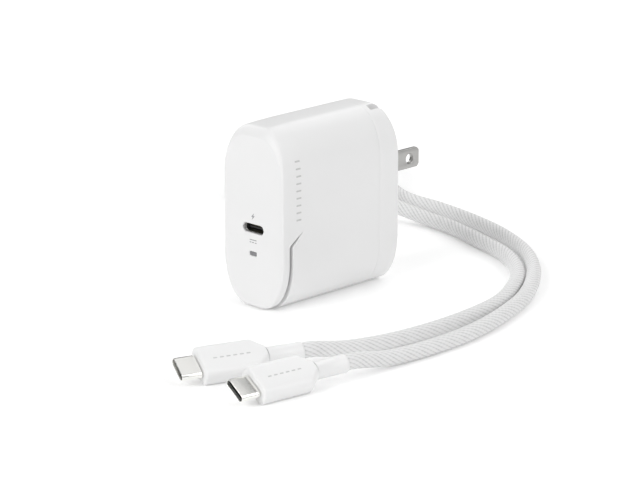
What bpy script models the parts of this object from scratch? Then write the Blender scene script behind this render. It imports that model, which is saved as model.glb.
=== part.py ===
"""A wall charger for a laptop, with folding blades, and its loose USB-C cable.

The charger stands on its narrow base. X is its width, Y its depth, with the
port at -Y and the blades at +Y, and Z is up. The origin is under the middle
of the box that holds the charger with its blades folded out.
"""
import math

import bmesh
import bpy
from mathutils import Matrix, Vector

MM = 0.001
GAP = 0.3 * MM              # clearance between neighbouring pieces
QUARTER = math.pi / 2

# Housing
WIDTH = 27.0 * MM
DEPTH = 51.0 * MM
HEIGHT = 58.0 * MM
WALL = 1.8 * MM
FLAT_HALF = 3.0 * MM        # half the flat strip along the base and the top
CORNER_HEIGHT = 16.5 * MM   # height of each rounded corner
CORNER_POWER = 2.1          # a little squarer than an ellipse
CORNER_STEPS = 9
SIDE_STEPS = 5
FRONT_EDGE_RADII = (0.7 * MM, 2.8 * MM)     # up the sides, and over the top
REAR_EDGE_RADII = (0.8 * MM, 4.5 * MM)
EDGE_STEPS = 5
CAP_DEPTH = 8.7 * MM        # rear cap, up to its seam

# Step between the front cover and the main shell
RELIEF = 0.5 * MM
STEP_DEPTH = 3.4 * MM       # from the front face
STEP_TOP = 21.5 * MM        # where the step turns into a slant
SLANT_TOP = 25.7 * MM
SLANT_DEPTH = 8.4 * MM
RELIEF_FADE = 14.0 * MM

# Blades
BLADE_LENGTH = 16.0 * MM    # beyond the rear face
BLADE_WIDTH = 6.35 * MM
BLADE_THICKNESS = 1.5 * MM
BLADE_SPACING = 12.7 * MM
BLADE_HOLE = 3.2 * MM
BLADE_HOLE_AT = 11.6 * MM   # from the rear face
BLADE_TIP_CHAMFER = 1.2 * MM
PIVOT_INSET = 3.3 * MM      # pivot behind the rear face
PIVOT_HEIGHT = 37.4 * MM
SLOT_WIDTH = 2.2 * MM
SLOT_DEPTH = 6.8 * MM
POCKET_RADIUS = 5.4 * MM
POCKET_WIDTH = 4.6 * MM
LUG_WIDTH = 3.8 * MM
HUB_RADIUS = 2.3 * MM
DRUM_RADIUS = 2.9 * MM
DRUM_WIDTH = 4.0 * MM
HUB_LENGTH = 18.8 * MM

FRONT = -(DEPTH + BLADE_LENGTH) / 2
REAR = FRONT + DEPTH
SEAM = REAR - CAP_DEPTH
PIVOT_Y = REAR - PIVOT_INSET
CRADLE_FRONT = SEAM + 0.5 * MM
CRADLE_REAR = REAR - WALL - GAP
CRADLE_INSET = WALL + 0.4 * MM
CRADLE_BOTTOM = 27.0 * MM

# Port and light
PORT_HEIGHT = 25.5 * MM
PORT_WIDTH = 9.0 * MM
PORT_OPENING = 2.9 * MM
PORT_LIP = 0.8 * MM
SHELL_WIDTH = 8.94 * MM
SHELL_HEIGHT = 3.2 * MM
SHELL_WALL = 0.3 * MM
SHELL_DEPTH = 7.3 * MM
TONGUE_WIDTH = 6.7 * MM
TONGUE_THICKNESS = 0.7 * MM
LED_HEIGHT = 17.5 * MM
LED_WIDTH = 3.0 * MM
LED_OPENING = 1.3 * MM

# Boards
BOARD_THICKNESS = 1.2 * MM
MAIN_BOARD_X = 9.2 * MM
USB_BOARD_TOP = PORT_HEIGHT - SHELL_HEIGHT / 2 - GAP

# Cable
CABLE_DIAMETER = 4.8 * MM
CABLE_FLOOR = CABLE_DIAMETER / 2 + 0.05 * MM
CABLE_SPACING = 10.0 * MM   # between the points of a drawn tube
PLUG_SHELL_WIDTH = 8.25 * MM
PLUG_SHELL_HEIGHT = 2.4 * MM
PLUG_SHELL_LENGTH = 6.65 * MM
PLUG_BODY_WIDTH = 12.0 * MM
PLUG_BODY_HEIGHT = 6.2 * MM
PLUG_BODY_LENGTH = 21.0 * MM
PLUG_SLEEVE_LENGTH = 11.5 * MM
PLUG_SLEEVE_RADIUS = 2.8 * MM
PLUG_ROLL = math.radians(30)
PLUG_AXIS_HEIGHT = 4.8 * MM
PLUG_LEAD_OUT = 4.0 * MM    # straight stretch where the cable leaves its sleeve
COIL_CENTRE = (-82.0 * MM, 75.0 * MM)
COIL_RADIUS = 26.0 * MM
COIL_HALF_WIDTH = 2.6 * MM
COIL_HEIGHT = 14.9 * MM
TIE_ANGLE = math.radians(134.6)

# Plug ends on the floor: (x, y) of the mouth in millimetres, and heading
PLUG_A = ((62.5, -101.7), math.radians(82.8))
PLUG_B = ((37.4, -100.3), math.radians(70.5))

# Route of each run from its plug to the coil, (x, y, height of its middle)
RUN_A = [
    (69.3, -46.0, 3.0), (70.2, -30.0, 2.5), (69.4, -11.5, 2.5), (65.0, 7.8, 2.5),
    (56.6, 29.0, 2.5), (42.5, 49.5, 2.5), (25.8, 64.8, 2.5), (7.0, 75.0, 2.5),
    (-12.0, 81.0, 2.5), (-30.0, 84.3, 2.5), (-42.0, 85.0, 2.5), (-52.0, 87.8, 2.5),
]
RUN_B = [
    (54.6, -47.5, 3.0), (57.8, -32.0, 2.5), (59.2, -14.0, 2.5), (58.2, 2.8, 2.5),
    (55.2, 18.2, 2.5), (48.9, 31.5, 2.5), (39.4, 45.2, 2.5), (24.2, 57.6, 2.5),
    (5.0, 65.0, 2.5), (-12.0, 70.3, 2.5), (-25.0, 71.6, 2.8), (-36.0, 69.8, 4.8),
    (-45.0, 65.6, 8.0), (-53.2, 61.2, 10.9),
]

# Colours, linear RGB
WHITE_PLASTIC = (0.84, 0.84, 0.84)
NICKEL = (0.55, 0.54, 0.52)
STEEL = (0.62, 0.62, 0.58)
BLACK_PLASTIC = (0.01, 0.01, 0.01)
BOARD_GREEN = (0.02, 0.12, 0.05)
FERRITE = (0.03, 0.03, 0.035)
COPPER = (0.72, 0.36, 0.2)
TAPE_YELLOW = (0.75, 0.55, 0.08)
SLEEVE_BLACK = (0.02, 0.02, 0.03)
ALUMINIUM = (0.7, 0.7, 0.72)
BRASS = (0.75, 0.6, 0.3)
CAPACITOR_BLUE = (0.05, 0.12, 0.4)
CAPACITOR_YELLOW = (0.8, 0.6, 0.1)
CERAMIC_BLUE = (0.04, 0.2, 0.5)
CHIP_BLACK = (0.015, 0.015, 0.015)
PAD_GREY = (0.35, 0.38, 0.42)
FILM_WHITE = (0.7, 0.7, 0.65)
LENS_GREY = (0.4, 0.4, 0.4)
BRAID_WHITE = (0.75, 0.75, 0.75)


# ---------------------------------------------------------------- scene tools
def start():
    """Empty the scene and make the part's two collections."""
    for old in list(bpy.data.objects):
        bpy.data.objects.remove(old, do_unlink=True)
    for name in ("laptop_power_adapter", "cutters"):
        if name not in bpy.data.collections:
            bpy.data.collections.new(name)
        group = bpy.data.collections[name]
        if name not in bpy.context.scene.collection.children:
            bpy.context.scene.collection.children.link(group)


def material(name, colour, roughness=0.5, metallic=0.0):
    mat = bpy.data.materials.new(name)
    mat.use_nodes = True
    shader = mat.node_tree.nodes["Principled BSDF"]
    shader.inputs["Base Color"].default_value = (*colour, 1.0)
    shader.inputs["Roughness"].default_value = roughness
    shader.inputs["Metallic"].default_value = metallic
    return mat


def add_object(name, data, parent=None, collection="laptop_power_adapter"):
    obj = bpy.data.objects.new(name, data)
    bpy.data.collections[collection].objects.link(obj)
    obj.parent = parent
    return obj


def add_empty(name, location=(0, 0, 0), rotation=(0, 0, 0)):
    empty = add_object(name, None)
    empty.location = location
    empty.rotation_euler = rotation
    empty.empty_display_size = 0.01
    return empty


def finish_piece(obj, mat, smooth=False):
    obj.data.materials.clear()
    obj.data.materials.append(mat)
    if smooth:
        obj.data.shade_smooth()
        obj.data.set_sharp_from_angle(angle=math.radians(35))
    return obj


def mesh_object(name, bm, parent, collection="laptop_power_adapter"):
    bmesh.ops.recalc_face_normals(bm, faces=bm.faces)
    mesh = bpy.data.meshes.new(name)
    bm.to_mesh(mesh)
    bm.free()
    return add_object(name, mesh, parent, collection)


def cut(piece, cutter, name):
    """Subtract the cutter, which stays in the file as a hidden wire shape."""
    cutter.hide_render = True
    cutter.display_type = "WIRE"
    boolean = piece.modifiers.new(name, "BOOLEAN")
    boolean.operation = "DIFFERENCE"
    boolean.object = cutter
    boolean.solver = "EXACT"


# ---------------------------------------------------------------- shape tools
def box(name, low, high, parent, mat=None, bevel=0.0, collection="laptop_power_adapter"):
    """A box between two corners, with softened edges where bevel is given."""
    low, high = Vector(low), Vector(high)
    size = high - low
    bm = bmesh.new()
    bmesh.ops.create_cube(bm, size=1.0, matrix=Matrix.Diagonal((*size, 1.0)))
    obj = mesh_object(name, bm, parent, collection)
    obj.location = (low + high) / 2
    if bevel:
        edges = obj.modifiers.new("edges", "BEVEL")
        edges.width = bevel
        edges.segments = 1
    if mat:
        finish_piece(obj, mat)
    return obj


def turn_matrix(axis):
    """Turns +Z to the named axis."""
    if axis == "X":
        return Matrix.Rotation(QUARTER, 4, "Y")
    if axis == "Y":
        return Matrix.Rotation(-QUARTER, 4, "X")
    return Matrix.Identity(4)


def cylinder(name, radius, length, axis, centre, parent, mat=None, sides=20, bevel=0.0,
             collection="laptop_power_adapter"):
    bm = bmesh.new()
    bmesh.ops.create_cone(bm, cap_ends=True, segments=sides, radius1=radius,
                          radius2=radius, depth=length, matrix=turn_matrix(axis))
    obj = mesh_object(name, bm, parent, collection)
    obj.location = centre
    if bevel:
        edges = obj.modifiers.new("edges", "BEVEL")
        edges.width = bevel
        edges.segments = 2
        edges.limit_method = "ANGLE"
        edges.angle_limit = math.radians(60)
    if mat:
        finish_piece(obj, mat, smooth=True)
    return obj


def turned(name, profile, axis, centre, parent, mat, sides=20):
    """A profile of (radius, height) turned about the named axis."""
    bm = bmesh.new()
    verts = [bm.verts.new((radius, 0, height)) for radius, height in profile]
    pairs = list(zip(verts, verts[1:]))
    if profile[0][0] > 0 and profile[-1][0] > 0:
        pairs.append((verts[-1], verts[0]))
    for first, second in pairs:
        bm.edges.new((first, second))
    mesh = bpy.data.meshes.new(name)
    bm.to_mesh(mesh)
    bm.free()
    obj = add_object(name, mesh, parent)
    obj.matrix_local = Matrix.Translation(centre) @ turn_matrix(axis)
    screw = obj.modifiers.new("turn", "SCREW")
    screw.steps = sides
    screw.render_steps = sides
    screw.use_merge_vertices = True
    screw.merge_threshold = 0.00001
    return finish_piece(obj, mat, smooth=True)


def plate(name, outline, low, high, axis, parent, mat=None, collection="laptop_power_adapter"):
    """A flat outline, extruded along X or Y between two places.

    The outline's points are (y, z) for axis X, and (x, z) for axis Y.
    """
    curve = bpy.data.curves.new(name, "CURVE")
    curve.dimensions = "2D"
    curve.fill_mode = "BOTH"
    curve.extrude = (high - low) / 2
    spline = curve.splines.new("POLY")
    spline.points.add(len(outline) - 1)
    for point, (across, up) in zip(spline.points, outline):
        point.co = (across, up, 0, 1)
    spline.use_cyclic_u = True
    middle = (high + low) / 2
    if axis == "X":
        place = Matrix.Translation((middle, 0, 0)) @ Matrix(
            ((0, 0, 1, 0), (1, 0, 0, 0), (0, 1, 0, 0), (0, 0, 0, 1)))
    else:
        place = Matrix.Translation((0, middle, 0)) @ Matrix(
            ((1, 0, 0, 0), (0, 0, -1, 0), (0, 1, 0, 0), (0, 0, 0, 1)))
    drawn = add_object(name + "_outline", curve, None, collection)
    graph = bpy.context.evaluated_depsgraph_get()
    mesh = bpy.data.meshes.new_from_object(drawn.evaluated_get(graph))
    bpy.data.objects.remove(drawn, do_unlink=True)
    bm = bmesh.new()
    bm.from_mesh(mesh)
    bpy.data.meshes.remove(mesh)
    bmesh.ops.remove_doubles(bm, verts=bm.verts, dist=0.000001)
    bmesh.ops.transform(bm, matrix=place, verts=bm.verts)
    obj = mesh_object(name, bm, parent, collection)
    if mat:
        finish_piece(obj, mat)
    return obj


def loft(name, rings, parent, mat, loop=False, smooth=True, collection="laptop_power_adapter"):
    """A skin over rings of equal length, capped at both ends or joined in a loop."""
    bm = bmesh.new()
    levels = [[bm.verts.new(point) for point in ring] for ring in rings]
    pairs = list(zip(levels, levels[1:]))
    if loop:
        pairs.append((levels[-1], levels[0]))
    else:
        bm.faces.new(levels[0])
        bm.faces.new(levels[-1])
    for first, second in pairs:
        for i in range(len(first)):
            j = (i + 1) % len(first)
            bm.faces.new((first[i], first[j], second[j], second[i]))
    obj = mesh_object(name, bm, parent, collection)
    if mat:
        finish_piece(obj, mat, smooth)
    return obj


def stadium(width, height, steps=5):
    """Points of a slot shape with round ends, centred on the origin."""
    radius = min(width, height) / 2
    reach_x = width / 2 - radius
    reach_z = height / 2 - radius
    points = []
    for quarter in range(4):
        for step in range(steps):
            angle = QUARTER * (quarter + step / (steps - 1))
            side_x = reach_x if quarter in (0, 3) else -reach_x
            side_z = reach_z if quarter in (0, 1) else -reach_z
            points.append((side_x + radius * math.cos(angle),
                           side_z + radius * math.sin(angle)))
    clean = []
    for point in points:
        if not clean or math.dist(point, clean[-1]) > 0.01 * MM:
            clean.append(point)
    if math.dist(clean[0], clean[-1]) < 0.01 * MM:
        clean.pop()
    return clean


def rounded(width, height, radius, steps=4):
    """Points of a rectangle with round corners, centred on the origin."""
    points = []
    for quarter, (side_x, side_z) in enumerate(((1, 1), (-1, 1), (-1, -1), (1, -1))):
        for step in range(steps):
            angle = QUARTER * (quarter + step / (steps - 1))
            points.append((side_x * (width / 2 - radius) + radius * math.cos(angle),
                           side_z * (height / 2 - radius) + radius * math.sin(angle)))
    return points


def ring_at(points, y, height=0.0):
    """Points (x, z) as a ring standing across Y."""
    return [(x, y, z + height) for x, z in points]


def strip(path, thickness):
    """Outline of a bent strip that follows the path, with mitred bends."""
    left, right = [], []
    count = len(path)
    for i, point in enumerate(path):
        here = Vector(point)
        before = (here - Vector(path[i - 1])).normalized() if i else None
        after = (Vector(path[i + 1]) - here).normalized() if i < count - 1 else None
        first = before or after
        second = after or before
        across = Vector((-first.y, first.x)) + Vector((-second.y, second.x))
        across.normalize()
        reach = thickness / 2 / max(0.4, across.dot(Vector((-first.y, first.x))))
        left.append(tuple(here + across * reach))
        right.append(tuple(here - across * reach))
    return left + right[::-1]


def smooth_route(points, spacing):
    """Evenly spaced points on a smooth curve through the route's points."""
    knots = [Vector(point) for point in points]
    knots = [2 * knots[0] - knots[1]] + knots + [2 * knots[-1] - knots[-2]]
    fine = []
    for a, b, c, d in zip(knots, knots[1:], knots[2:], knots[3:]):
        for step in range(24):
            t = step / 24
            fine.append(0.5 * (2 * b + (c - a) * t + (2 * a - 5 * b + 4 * c - d) * t ** 2
                               + (3 * b - a - 3 * c + d) * t ** 3))
    fine.append(knots[-2])
    lengths = [0.0]
    for a, b in zip(fine, fine[1:]):
        lengths.append(lengths[-1] + (b - a).length)
    count = max(2, round(lengths[-1] / spacing))
    even, i = [], 0
    for step in range(count + 1):
        target = lengths[-1] * step / count
        while i < len(lengths) - 2 and lengths[i + 1] < target:
            i += 1
        part = (target - lengths[i]) / max(lengths[i + 1] - lengths[i], 1e-9)
        even.append(fine[i].lerp(fine[i + 1], min(max(part, 0.0), 1.0)))
    return even


def tube(name, points, radius, parent, mat, resolution=2):
    """A round tube along the points, with flat closed ends."""
    curve = bpy.data.curves.new(name, "CURVE")
    curve.dimensions = "3D"
    curve.bevel_depth = radius
    curve.bevel_resolution = resolution
    curve.use_fill_caps = True
    spline = curve.splines.new("POLY")
    spline.points.add(len(points) - 1)
    for point, place in zip(spline.points, points):
        point.co = (*place, 1)
    obj = add_object(name, curve, parent)
    curve.materials.append(mat)
    return obj


# ---------------------------------------------------------------- housing
def housing_outline(inset_at):
    """Cross-section of the housing, as (x, z). inset_at gives the inset at a height."""
    low = CORNER_HEIGHT
    high = HEIGHT - CORNER_HEIGHT
    quarter = []
    for step in range(CORNER_STEPS):
        angle = QUARTER * step / (CORNER_STEPS - 1)
        quarter.append((max(math.cos(angle), 0.0) ** (2 / CORNER_POWER),
                        max(math.sin(angle), 0.0) ** (2 / CORNER_POWER)))
    points = []

    def add(side, x_part, z_part, top):
        flat_height = high + z_part * CORNER_HEIGHT if top else low - z_part * CORNER_HEIGHT
        inset = inset_at(flat_height)
        reach_x = WIDTH / 2 - FLAT_HALF - inset
        reach_z = z_part * (CORNER_HEIGHT - inset)
        z = high + reach_z if top else low - reach_z
        points.append((side * (FLAT_HALF + x_part * reach_x), z))

    for x_part, z_part in quarter:
        add(1, x_part, z_part, True)
    for x_part, z_part in reversed(quarter):
        add(-1, x_part, z_part, True)
    for step in range(1, SIDE_STEPS + 1):
        z = high + (low - high) * step / (SIDE_STEPS + 1)
        points.append((-(WIDTH / 2 - inset_at(z)), z))
    for x_part, z_part in quarter:
        add(-1, x_part, z_part, False)
    for x_part, z_part in reversed(quarter):
        add(1, x_part, z_part, False)
    for step in range(1, SIDE_STEPS + 1):
        z = low + (high - low) * step / (SIDE_STEPS + 1)
        points.append((WIDTH / 2 - inset_at(z), z))
    return points


def housing_ring(y, inset):
    return ring_at(housing_outline(lambda z: inset), y)


def edge_rings(face, direction, inset, radii):
    """Rings round the edge of an end face, from the wall to the face. The edge has the
    first radius up the sides and grows to the second over the top."""
    def radius(z):
        part = max(z - (HEIGHT - CORNER_HEIGHT), 0.0) / CORNER_HEIGHT
        return radii[0] + (radii[1] - radii[0]) * part ** 2

    full = housing_outline(lambda z: 0.0)
    rings = []
    for step in range(EDGE_STEPS + 1):
        angle = QUARTER * step / EDGE_STEPS
        inward, along = 1 - math.cos(angle), 1 - math.sin(angle)
        drawn_in = housing_outline(lambda z, inward=inward: inset + inward * radius(z))
        rings.append([(x, face + direction * along * radius(height), z)
                      for (x, z), (_, height) in zip(drawn_in, full)])
    return rings


def relief_at(y, z):
    """How far the main shell lies inside the full outline at a place."""
    slant = min(max((z - STEP_TOP) / (SLANT_TOP - STEP_TOP), 0.0), 1.0)
    step_y = FRONT + STEP_DEPTH + slant * (SLANT_DEPTH - STEP_DEPTH)
    if z <= STEP_TOP or (slant < 1.0 and y >= step_y):
        return 0.0
    fade = 1 - (y - FRONT - STEP_DEPTH) / RELIEF_FADE
    return RELIEF * min(max(fade, 0.0), 1.0)


def front_cover(charger):
    """Cup with the port and light openings; its edge is the front of the step."""
    back = FRONT + STEP_DEPTH - GAP / 2
    inner = RELIEF + WALL
    rings = [housing_ring(FRONT + WALL, inner), housing_ring(back, inner),
             housing_ring(back, RELIEF)]
    rings += edge_rings(FRONT, 1, RELIEF, FRONT_EDGE_RADII)
    cover = loft("front_cover", rings, charger, material("cover_white", WHITE_PLASTIC, 0.45))
    port = loft("port_cutter",
                [ring_at(stadium(PORT_WIDTH, PORT_OPENING), y, PORT_HEIGHT)
                 for y in (FRONT - WALL, FRONT + 2 * WALL)],
                None, None, collection="cutters")
    cut(cover, port, "port")
    seat = loft("port_seat_cutter",
                [ring_at(stadium(SHELL_WIDTH + 2 * GAP, SHELL_HEIGHT + 2 * GAP), y, PORT_HEIGHT)
                 for y in (FRONT + PORT_LIP, FRONT + 2 * WALL)],
                None, None, collection="cutters")
    cut(cover, seat, "port_seat")
    light = loft("light_cutter",
                 [ring_at(stadium(LED_WIDTH + 2 * GAP, LED_OPENING + 2 * GAP), y, LED_HEIGHT)
                  for y in (FRONT - WALL, FRONT + 2 * WALL)],
                 None, None, collection="cutters")
    cut(cover, light, "light")


def main_shell(charger):
    """Open-ended sleeve, proud of the cover below the slant and flush above it."""
    front = FRONT + STEP_DEPTH + GAP / 2
    back = SEAM - GAP / 2
    places = [front, FRONT + 5.0 * MM, FRONT + 6.8 * MM, FRONT + SLANT_DEPTH,
              FRONT + 12.0 * MM, FRONT + STEP_DEPTH + RELIEF_FADE, back]
    rings = []
    for y in places:
        rings.append(ring_at(housing_outline(lambda z, y=y: relief_at(y, z)), y))
    rings.append(housing_ring(back, WALL + RELIEF))
    rings.append(housing_ring(front, WALL + RELIEF))
    loft("main_shell", rings, charger, material("shell_white", WHITE_PLASTIC, 0.45), loop=True)


def pivot_cylinder(name, radius, length, x):
    return cylinder(name, radius, length, "X", (x, PIVOT_Y, PIVOT_HEIGHT), None,
                    sides=28, collection="cutters")


def blade_cutters(side):
    """The pocket that the blade's root turns in, and the slot that it folds into."""
    x = side * BLADE_SPACING / 2
    word = "left" if side < 0 else "right"
    pocket = pivot_cylinder("pocket_cutter_" + word, POCKET_RADIUS, POCKET_WIDTH, x)
    slot = box("slot_cutter_" + word,
               (x - SLOT_WIDTH / 2, REAR - SLOT_DEPTH, PIVOT_HEIGHT + 1 * MM),
               (x + SLOT_WIDTH / 2, REAR + 2 * MM, HEIGHT + 2 * MM), None, collection="cutters")
    return pocket, slot


def rear_cap(charger, cutters):
    front = SEAM + GAP / 2
    rings = [housing_ring(REAR - WALL, WALL), housing_ring(front, WALL), housing_ring(front, 0.0)]
    rings += edge_rings(REAR, -1, 0.0, REAR_EDGE_RADII)
    cap = loft("rear_cap", rings, charger, material("cap_white", WHITE_PLASTIC, 0.45))
    for i, cutter in enumerate(cutters):
        cut(cap, cutter, "blade_opening_%d" % i)
    bore = pivot_cylinder("cap_bore_cutter", HUB_RADIUS + GAP, HUB_LENGTH + 2 * GAP, 0)
    cut(cap, bore, "hub_recess")


def prong_cradle(charger, cutters):
    """Block behind the rear wall that carries the hub and lines the slots."""
    outline = [point for point in housing_outline(lambda z: CRADLE_INSET)
               if point[1] > CRADLE_BOTTOM]
    half = WIDTH / 2 - CRADLE_INSET
    lowest = min((point for point in outline if point[0] > 0), key=lambda point: point[1])
    start = outline.index(lowest)
    outline = outline[start:] + outline[:start]
    outline += [(-half, CRADLE_BOTTOM), (half, CRADLE_BOTTOM)]
    rings = [ring_at(outline, y) for y in (CRADLE_FRONT, CRADLE_REAR)]
    cradle = loft("prong_cradle", rings, charger, material("cradle_white", WHITE_PLASTIC, 0.5),
                  smooth=False)
    for i, cutter in enumerate(cutters):
        cut(cradle, cutter, "blade_room_%d" % i)
    bore = pivot_cylinder("cradle_bore_cutter", HUB_RADIUS + GAP, HUB_LENGTH + 2 * GAP, 0)
    cut(cradle, bore, "hub_bore")
    window = box("detent_cutter", (-3.5 * MM, CRADLE_FRONT - 1 * MM, 33.0 * MM),
                 (3.5 * MM, 13.5 * MM, 41.8 * MM), None, collection="cutters")
    cut(cradle, window, "detent_window")
    for side, word in ((-1, "left"), (1, "right")):
        x = side * BLADE_SPACING / 2
        way = box("contact_cutter_" + word, (x - 1.9 * MM, CRADLE_FRONT - 1 * MM, 30.2 * MM),
                  (x + 1.9 * MM, 14.0 * MM, 35.0 * MM), None, collection="cutters")
        cut(cradle, way, "contact_way_" + word)


# ---------------------------------------------------------------- blades
def blade(name, side, pivot, mat):
    """Flat blade with a shoulder at its root, drawn about the pivot."""
    half = BLADE_WIDTH / 2
    tip = PIVOT_INSET + BLADE_LENGTH
    chamfer = BLADE_TIP_CHAMFER
    outline = [(-0.9 * MM, -2.4 * MM), (0.1 * MM, -half), (tip - chamfer, -half),
               (tip, -half + chamfer), (tip, half - chamfer), (tip - chamfer, half),
               (2.3 * MM, half), (2.3 * MM, 4.7 * MM), (0.5 * MM, 4.7 * MM),
               (0.5 * MM, half - 0.2 * MM), (-0.9 * MM, 2.4 * MM)]
    x = side * BLADE_SPACING / 2
    flat = plate(name, outline, x - BLADE_THICKNESS / 2, x + BLADE_THICKNESS / 2, "X", pivot, mat)
    lug = box(name + "_lug_shape", (x - LUG_WIDTH / 2, 0.5 * MM, 3.3 * MM),
              (x + LUG_WIDTH / 2, 2.3 * MM, 4.7 * MM), pivot, collection="cutters")
    lug.hide_render = True
    lug.display_type = "WIRE"
    join = flat.modifiers.new("lug", "BOOLEAN")
    join.operation = "UNION"
    join.object = lug
    join.solver = "EXACT"
    hole = cylinder(name + "_hole_cutter", BLADE_HOLE / 2, 4 * MM, "X",
                    (x, PIVOT_INSET + BLADE_HOLE_AT, 0), pivot, sides=20, collection="cutters")
    cut(flat, hole, "hole")
    return flat


def blade_hub(pivot):
    """Moulded shaft that turns both blades together."""
    centre = BLADE_SPACING / 2
    half = DRUM_WIDTH / 2
    end = HUB_LENGTH / 2
    profile = [(0, end), (HUB_RADIUS, end), (HUB_RADIUS, centre + half),
               (DRUM_RADIUS, centre + half), (DRUM_RADIUS, centre - half),
               (HUB_RADIUS, centre - half)]
    profile += [(radius, -place) for radius, place in reversed(profile)]
    hub = turned("blade_hub", profile, "X", (0, 0, 0), pivot,
                 material("hub_white", WHITE_PLASTIC, 0.4), sides=24)
    for side, word in ((-1, "left"), (1, "right")):
        x = side * centre
        room = BLADE_THICKNESS / 2 + GAP
        seat = box("hub_cutter_" + word, (x - room, -1.2 * MM, -6 * MM), (x + room, 6 * MM, 6 * MM),
                   pivot, collection="cutters")
        cut(hub, seat, "blade_seat_" + word)
        shoulder = box("shoulder_cutter_" + word, (x - LUG_WIDTH / 2 - GAP, 0.2 * MM, 3.0 * MM),
                       (x + LUG_WIDTH / 2 + GAP, 6 * MM, 6 * MM), pivot, collection="cutters")
        cut(hub, shoulder, "shoulder_seat_" + word)


def blades():
    pivot = add_empty("blade_pivot", (0, PIVOT_Y, PIVOT_HEIGHT))
    metal = material("blade_nickel", NICKEL, 0.32, 1.0)
    blade("blade_left", -1, pivot, metal)
    blade("blade_right", 1, pivot, metal)
    blade_hub(pivot)


def springs(charger):
    """Contact springs under the blades' roots and the detent spring on the hub."""
    bronze = material("spring_bronze", COPPER, 0.35, 1.0)
    path = [(5.0 * MM, 29.5 * MM), (8.0 * MM, 29.5 * MM), (11.4 * MM, 32.0 * MM),
            (13.4 * MM, 33.5 * MM)]
    for side, word in ((-1, "left"), (1, "right")):
        x = side * BLADE_SPACING / 2
        plate("contact_spring_" + word, strip(path, 0.5 * MM), x - 1.5 * MM, x + 1.5 * MM, "X",
              charger, bronze)
    reach = PIVOT_Y - HUB_RADIUS - GAP - 0.25 * MM
    arch = [(9.6 * MM, 33.6 * MM), (reach, 34.4 * MM), (reach, 40.4 * MM), (9.6 * MM, 41.2 * MM)]
    plate("detent_spring", strip(arch, 0.4 * MM), -2.5 * MM, 2.5 * MM, "X", charger, bronze)


# ---------------------------------------------------------------- port and light
def usb_port(charger):
    steel = material("port_steel", STEEL, 0.3, 1.0)
    front = FRONT + PORT_LIP + GAP
    back = front + SHELL_DEPTH
    outer = stadium(SHELL_WIDTH, SHELL_HEIGHT)
    inner = stadium(SHELL_WIDTH - 2 * SHELL_WALL, SHELL_HEIGHT - 2 * SHELL_WALL)
    rings = [ring_at(inner, back - 0.4 * MM, PORT_HEIGHT), ring_at(inner, front, PORT_HEIGHT),
             ring_at(outer, front, PORT_HEIGHT), ring_at(outer, back, PORT_HEIGHT)]
    loft("usb_c_shell", rings, charger, steel)
    base = 0.95 * MM
    half = TONGUE_THICKNESS / 2
    tip = front + 0.7 * MM
    root = back - 1.9 * MM
    end = back - 0.7 * MM
    profile = [(tip, -half), (root, -half), (root, -base), (end, -base), (end, base),
               (root, base), (root, half), (tip, half)]
    profile = [(y, z + PORT_HEIGHT) for y, z in profile]
    plate("usb_c_tongue", profile, -TONGUE_WIDTH / 2, TONGUE_WIDTH / 2, "X", charger,
          material("tongue_black", BLACK_PLASTIC, 0.4))


def light(charger):
    """Clear window with a flange behind the cover, its diode and its small board."""
    small = stadium(LED_WIDTH, LED_OPENING)
    large = stadium(LED_WIDTH + 1.8 * MM, LED_OPENING + 1.8 * MM)
    flange = FRONT + WALL + GAP
    rings = [ring_at(small, FRONT + 0.1 * MM, LED_HEIGHT), ring_at(small, flange, LED_HEIGHT),
             ring_at(large, flange, LED_HEIGHT), ring_at(large, flange + 0.8 * MM, LED_HEIGHT)]
    loft("led_window", rings, charger, material("led_lens", LENS_GREY, 0.25))
    box("led_chip", (-0.8 * MM, -30.2 * MM, LED_HEIGHT - 0.4 * MM),
        (0.8 * MM, -29.7 * MM, LED_HEIGHT + 0.4 * MM), charger,
        material("led_chip_white", FILM_WHITE, 0.4))
    box("led_board", (-3.5 * MM, -29.4 * MM, 14.5 * MM), (3.5 * MM, -28.6 * MM, 21.8 * MM),
        charger, material("led_board_green", BOARD_GREEN, 0.5))


# ---------------------------------------------------------------- electronics
def boards(charger):
    green = material("board_green", BOARD_GREEN, 0.5)
    half = BOARD_THICKNESS / 2
    box("main_board", (MAIN_BOARD_X - half, -20.5 * MM, 9.5 * MM),
        (MAIN_BOARD_X + half, 8.0 * MM, 48.5 * MM), charger, green)
    box("usb_board", (-9.0 * MM, -31.2 * MM, USB_BOARD_TOP - 1.0 * MM),
        (8.0 * MM, -19.4 * MM, USB_BOARD_TOP), charger, green)
    box("pd_controller", (-2.5 * MM, -24.3 * MM, USB_BOARD_TOP + GAP),
        (2.5 * MM, -20.0 * MM, USB_BOARD_TOP + GAP + 0.9 * MM), charger,
        material("chip_black", CHIP_BLACK, 0.45))


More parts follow.
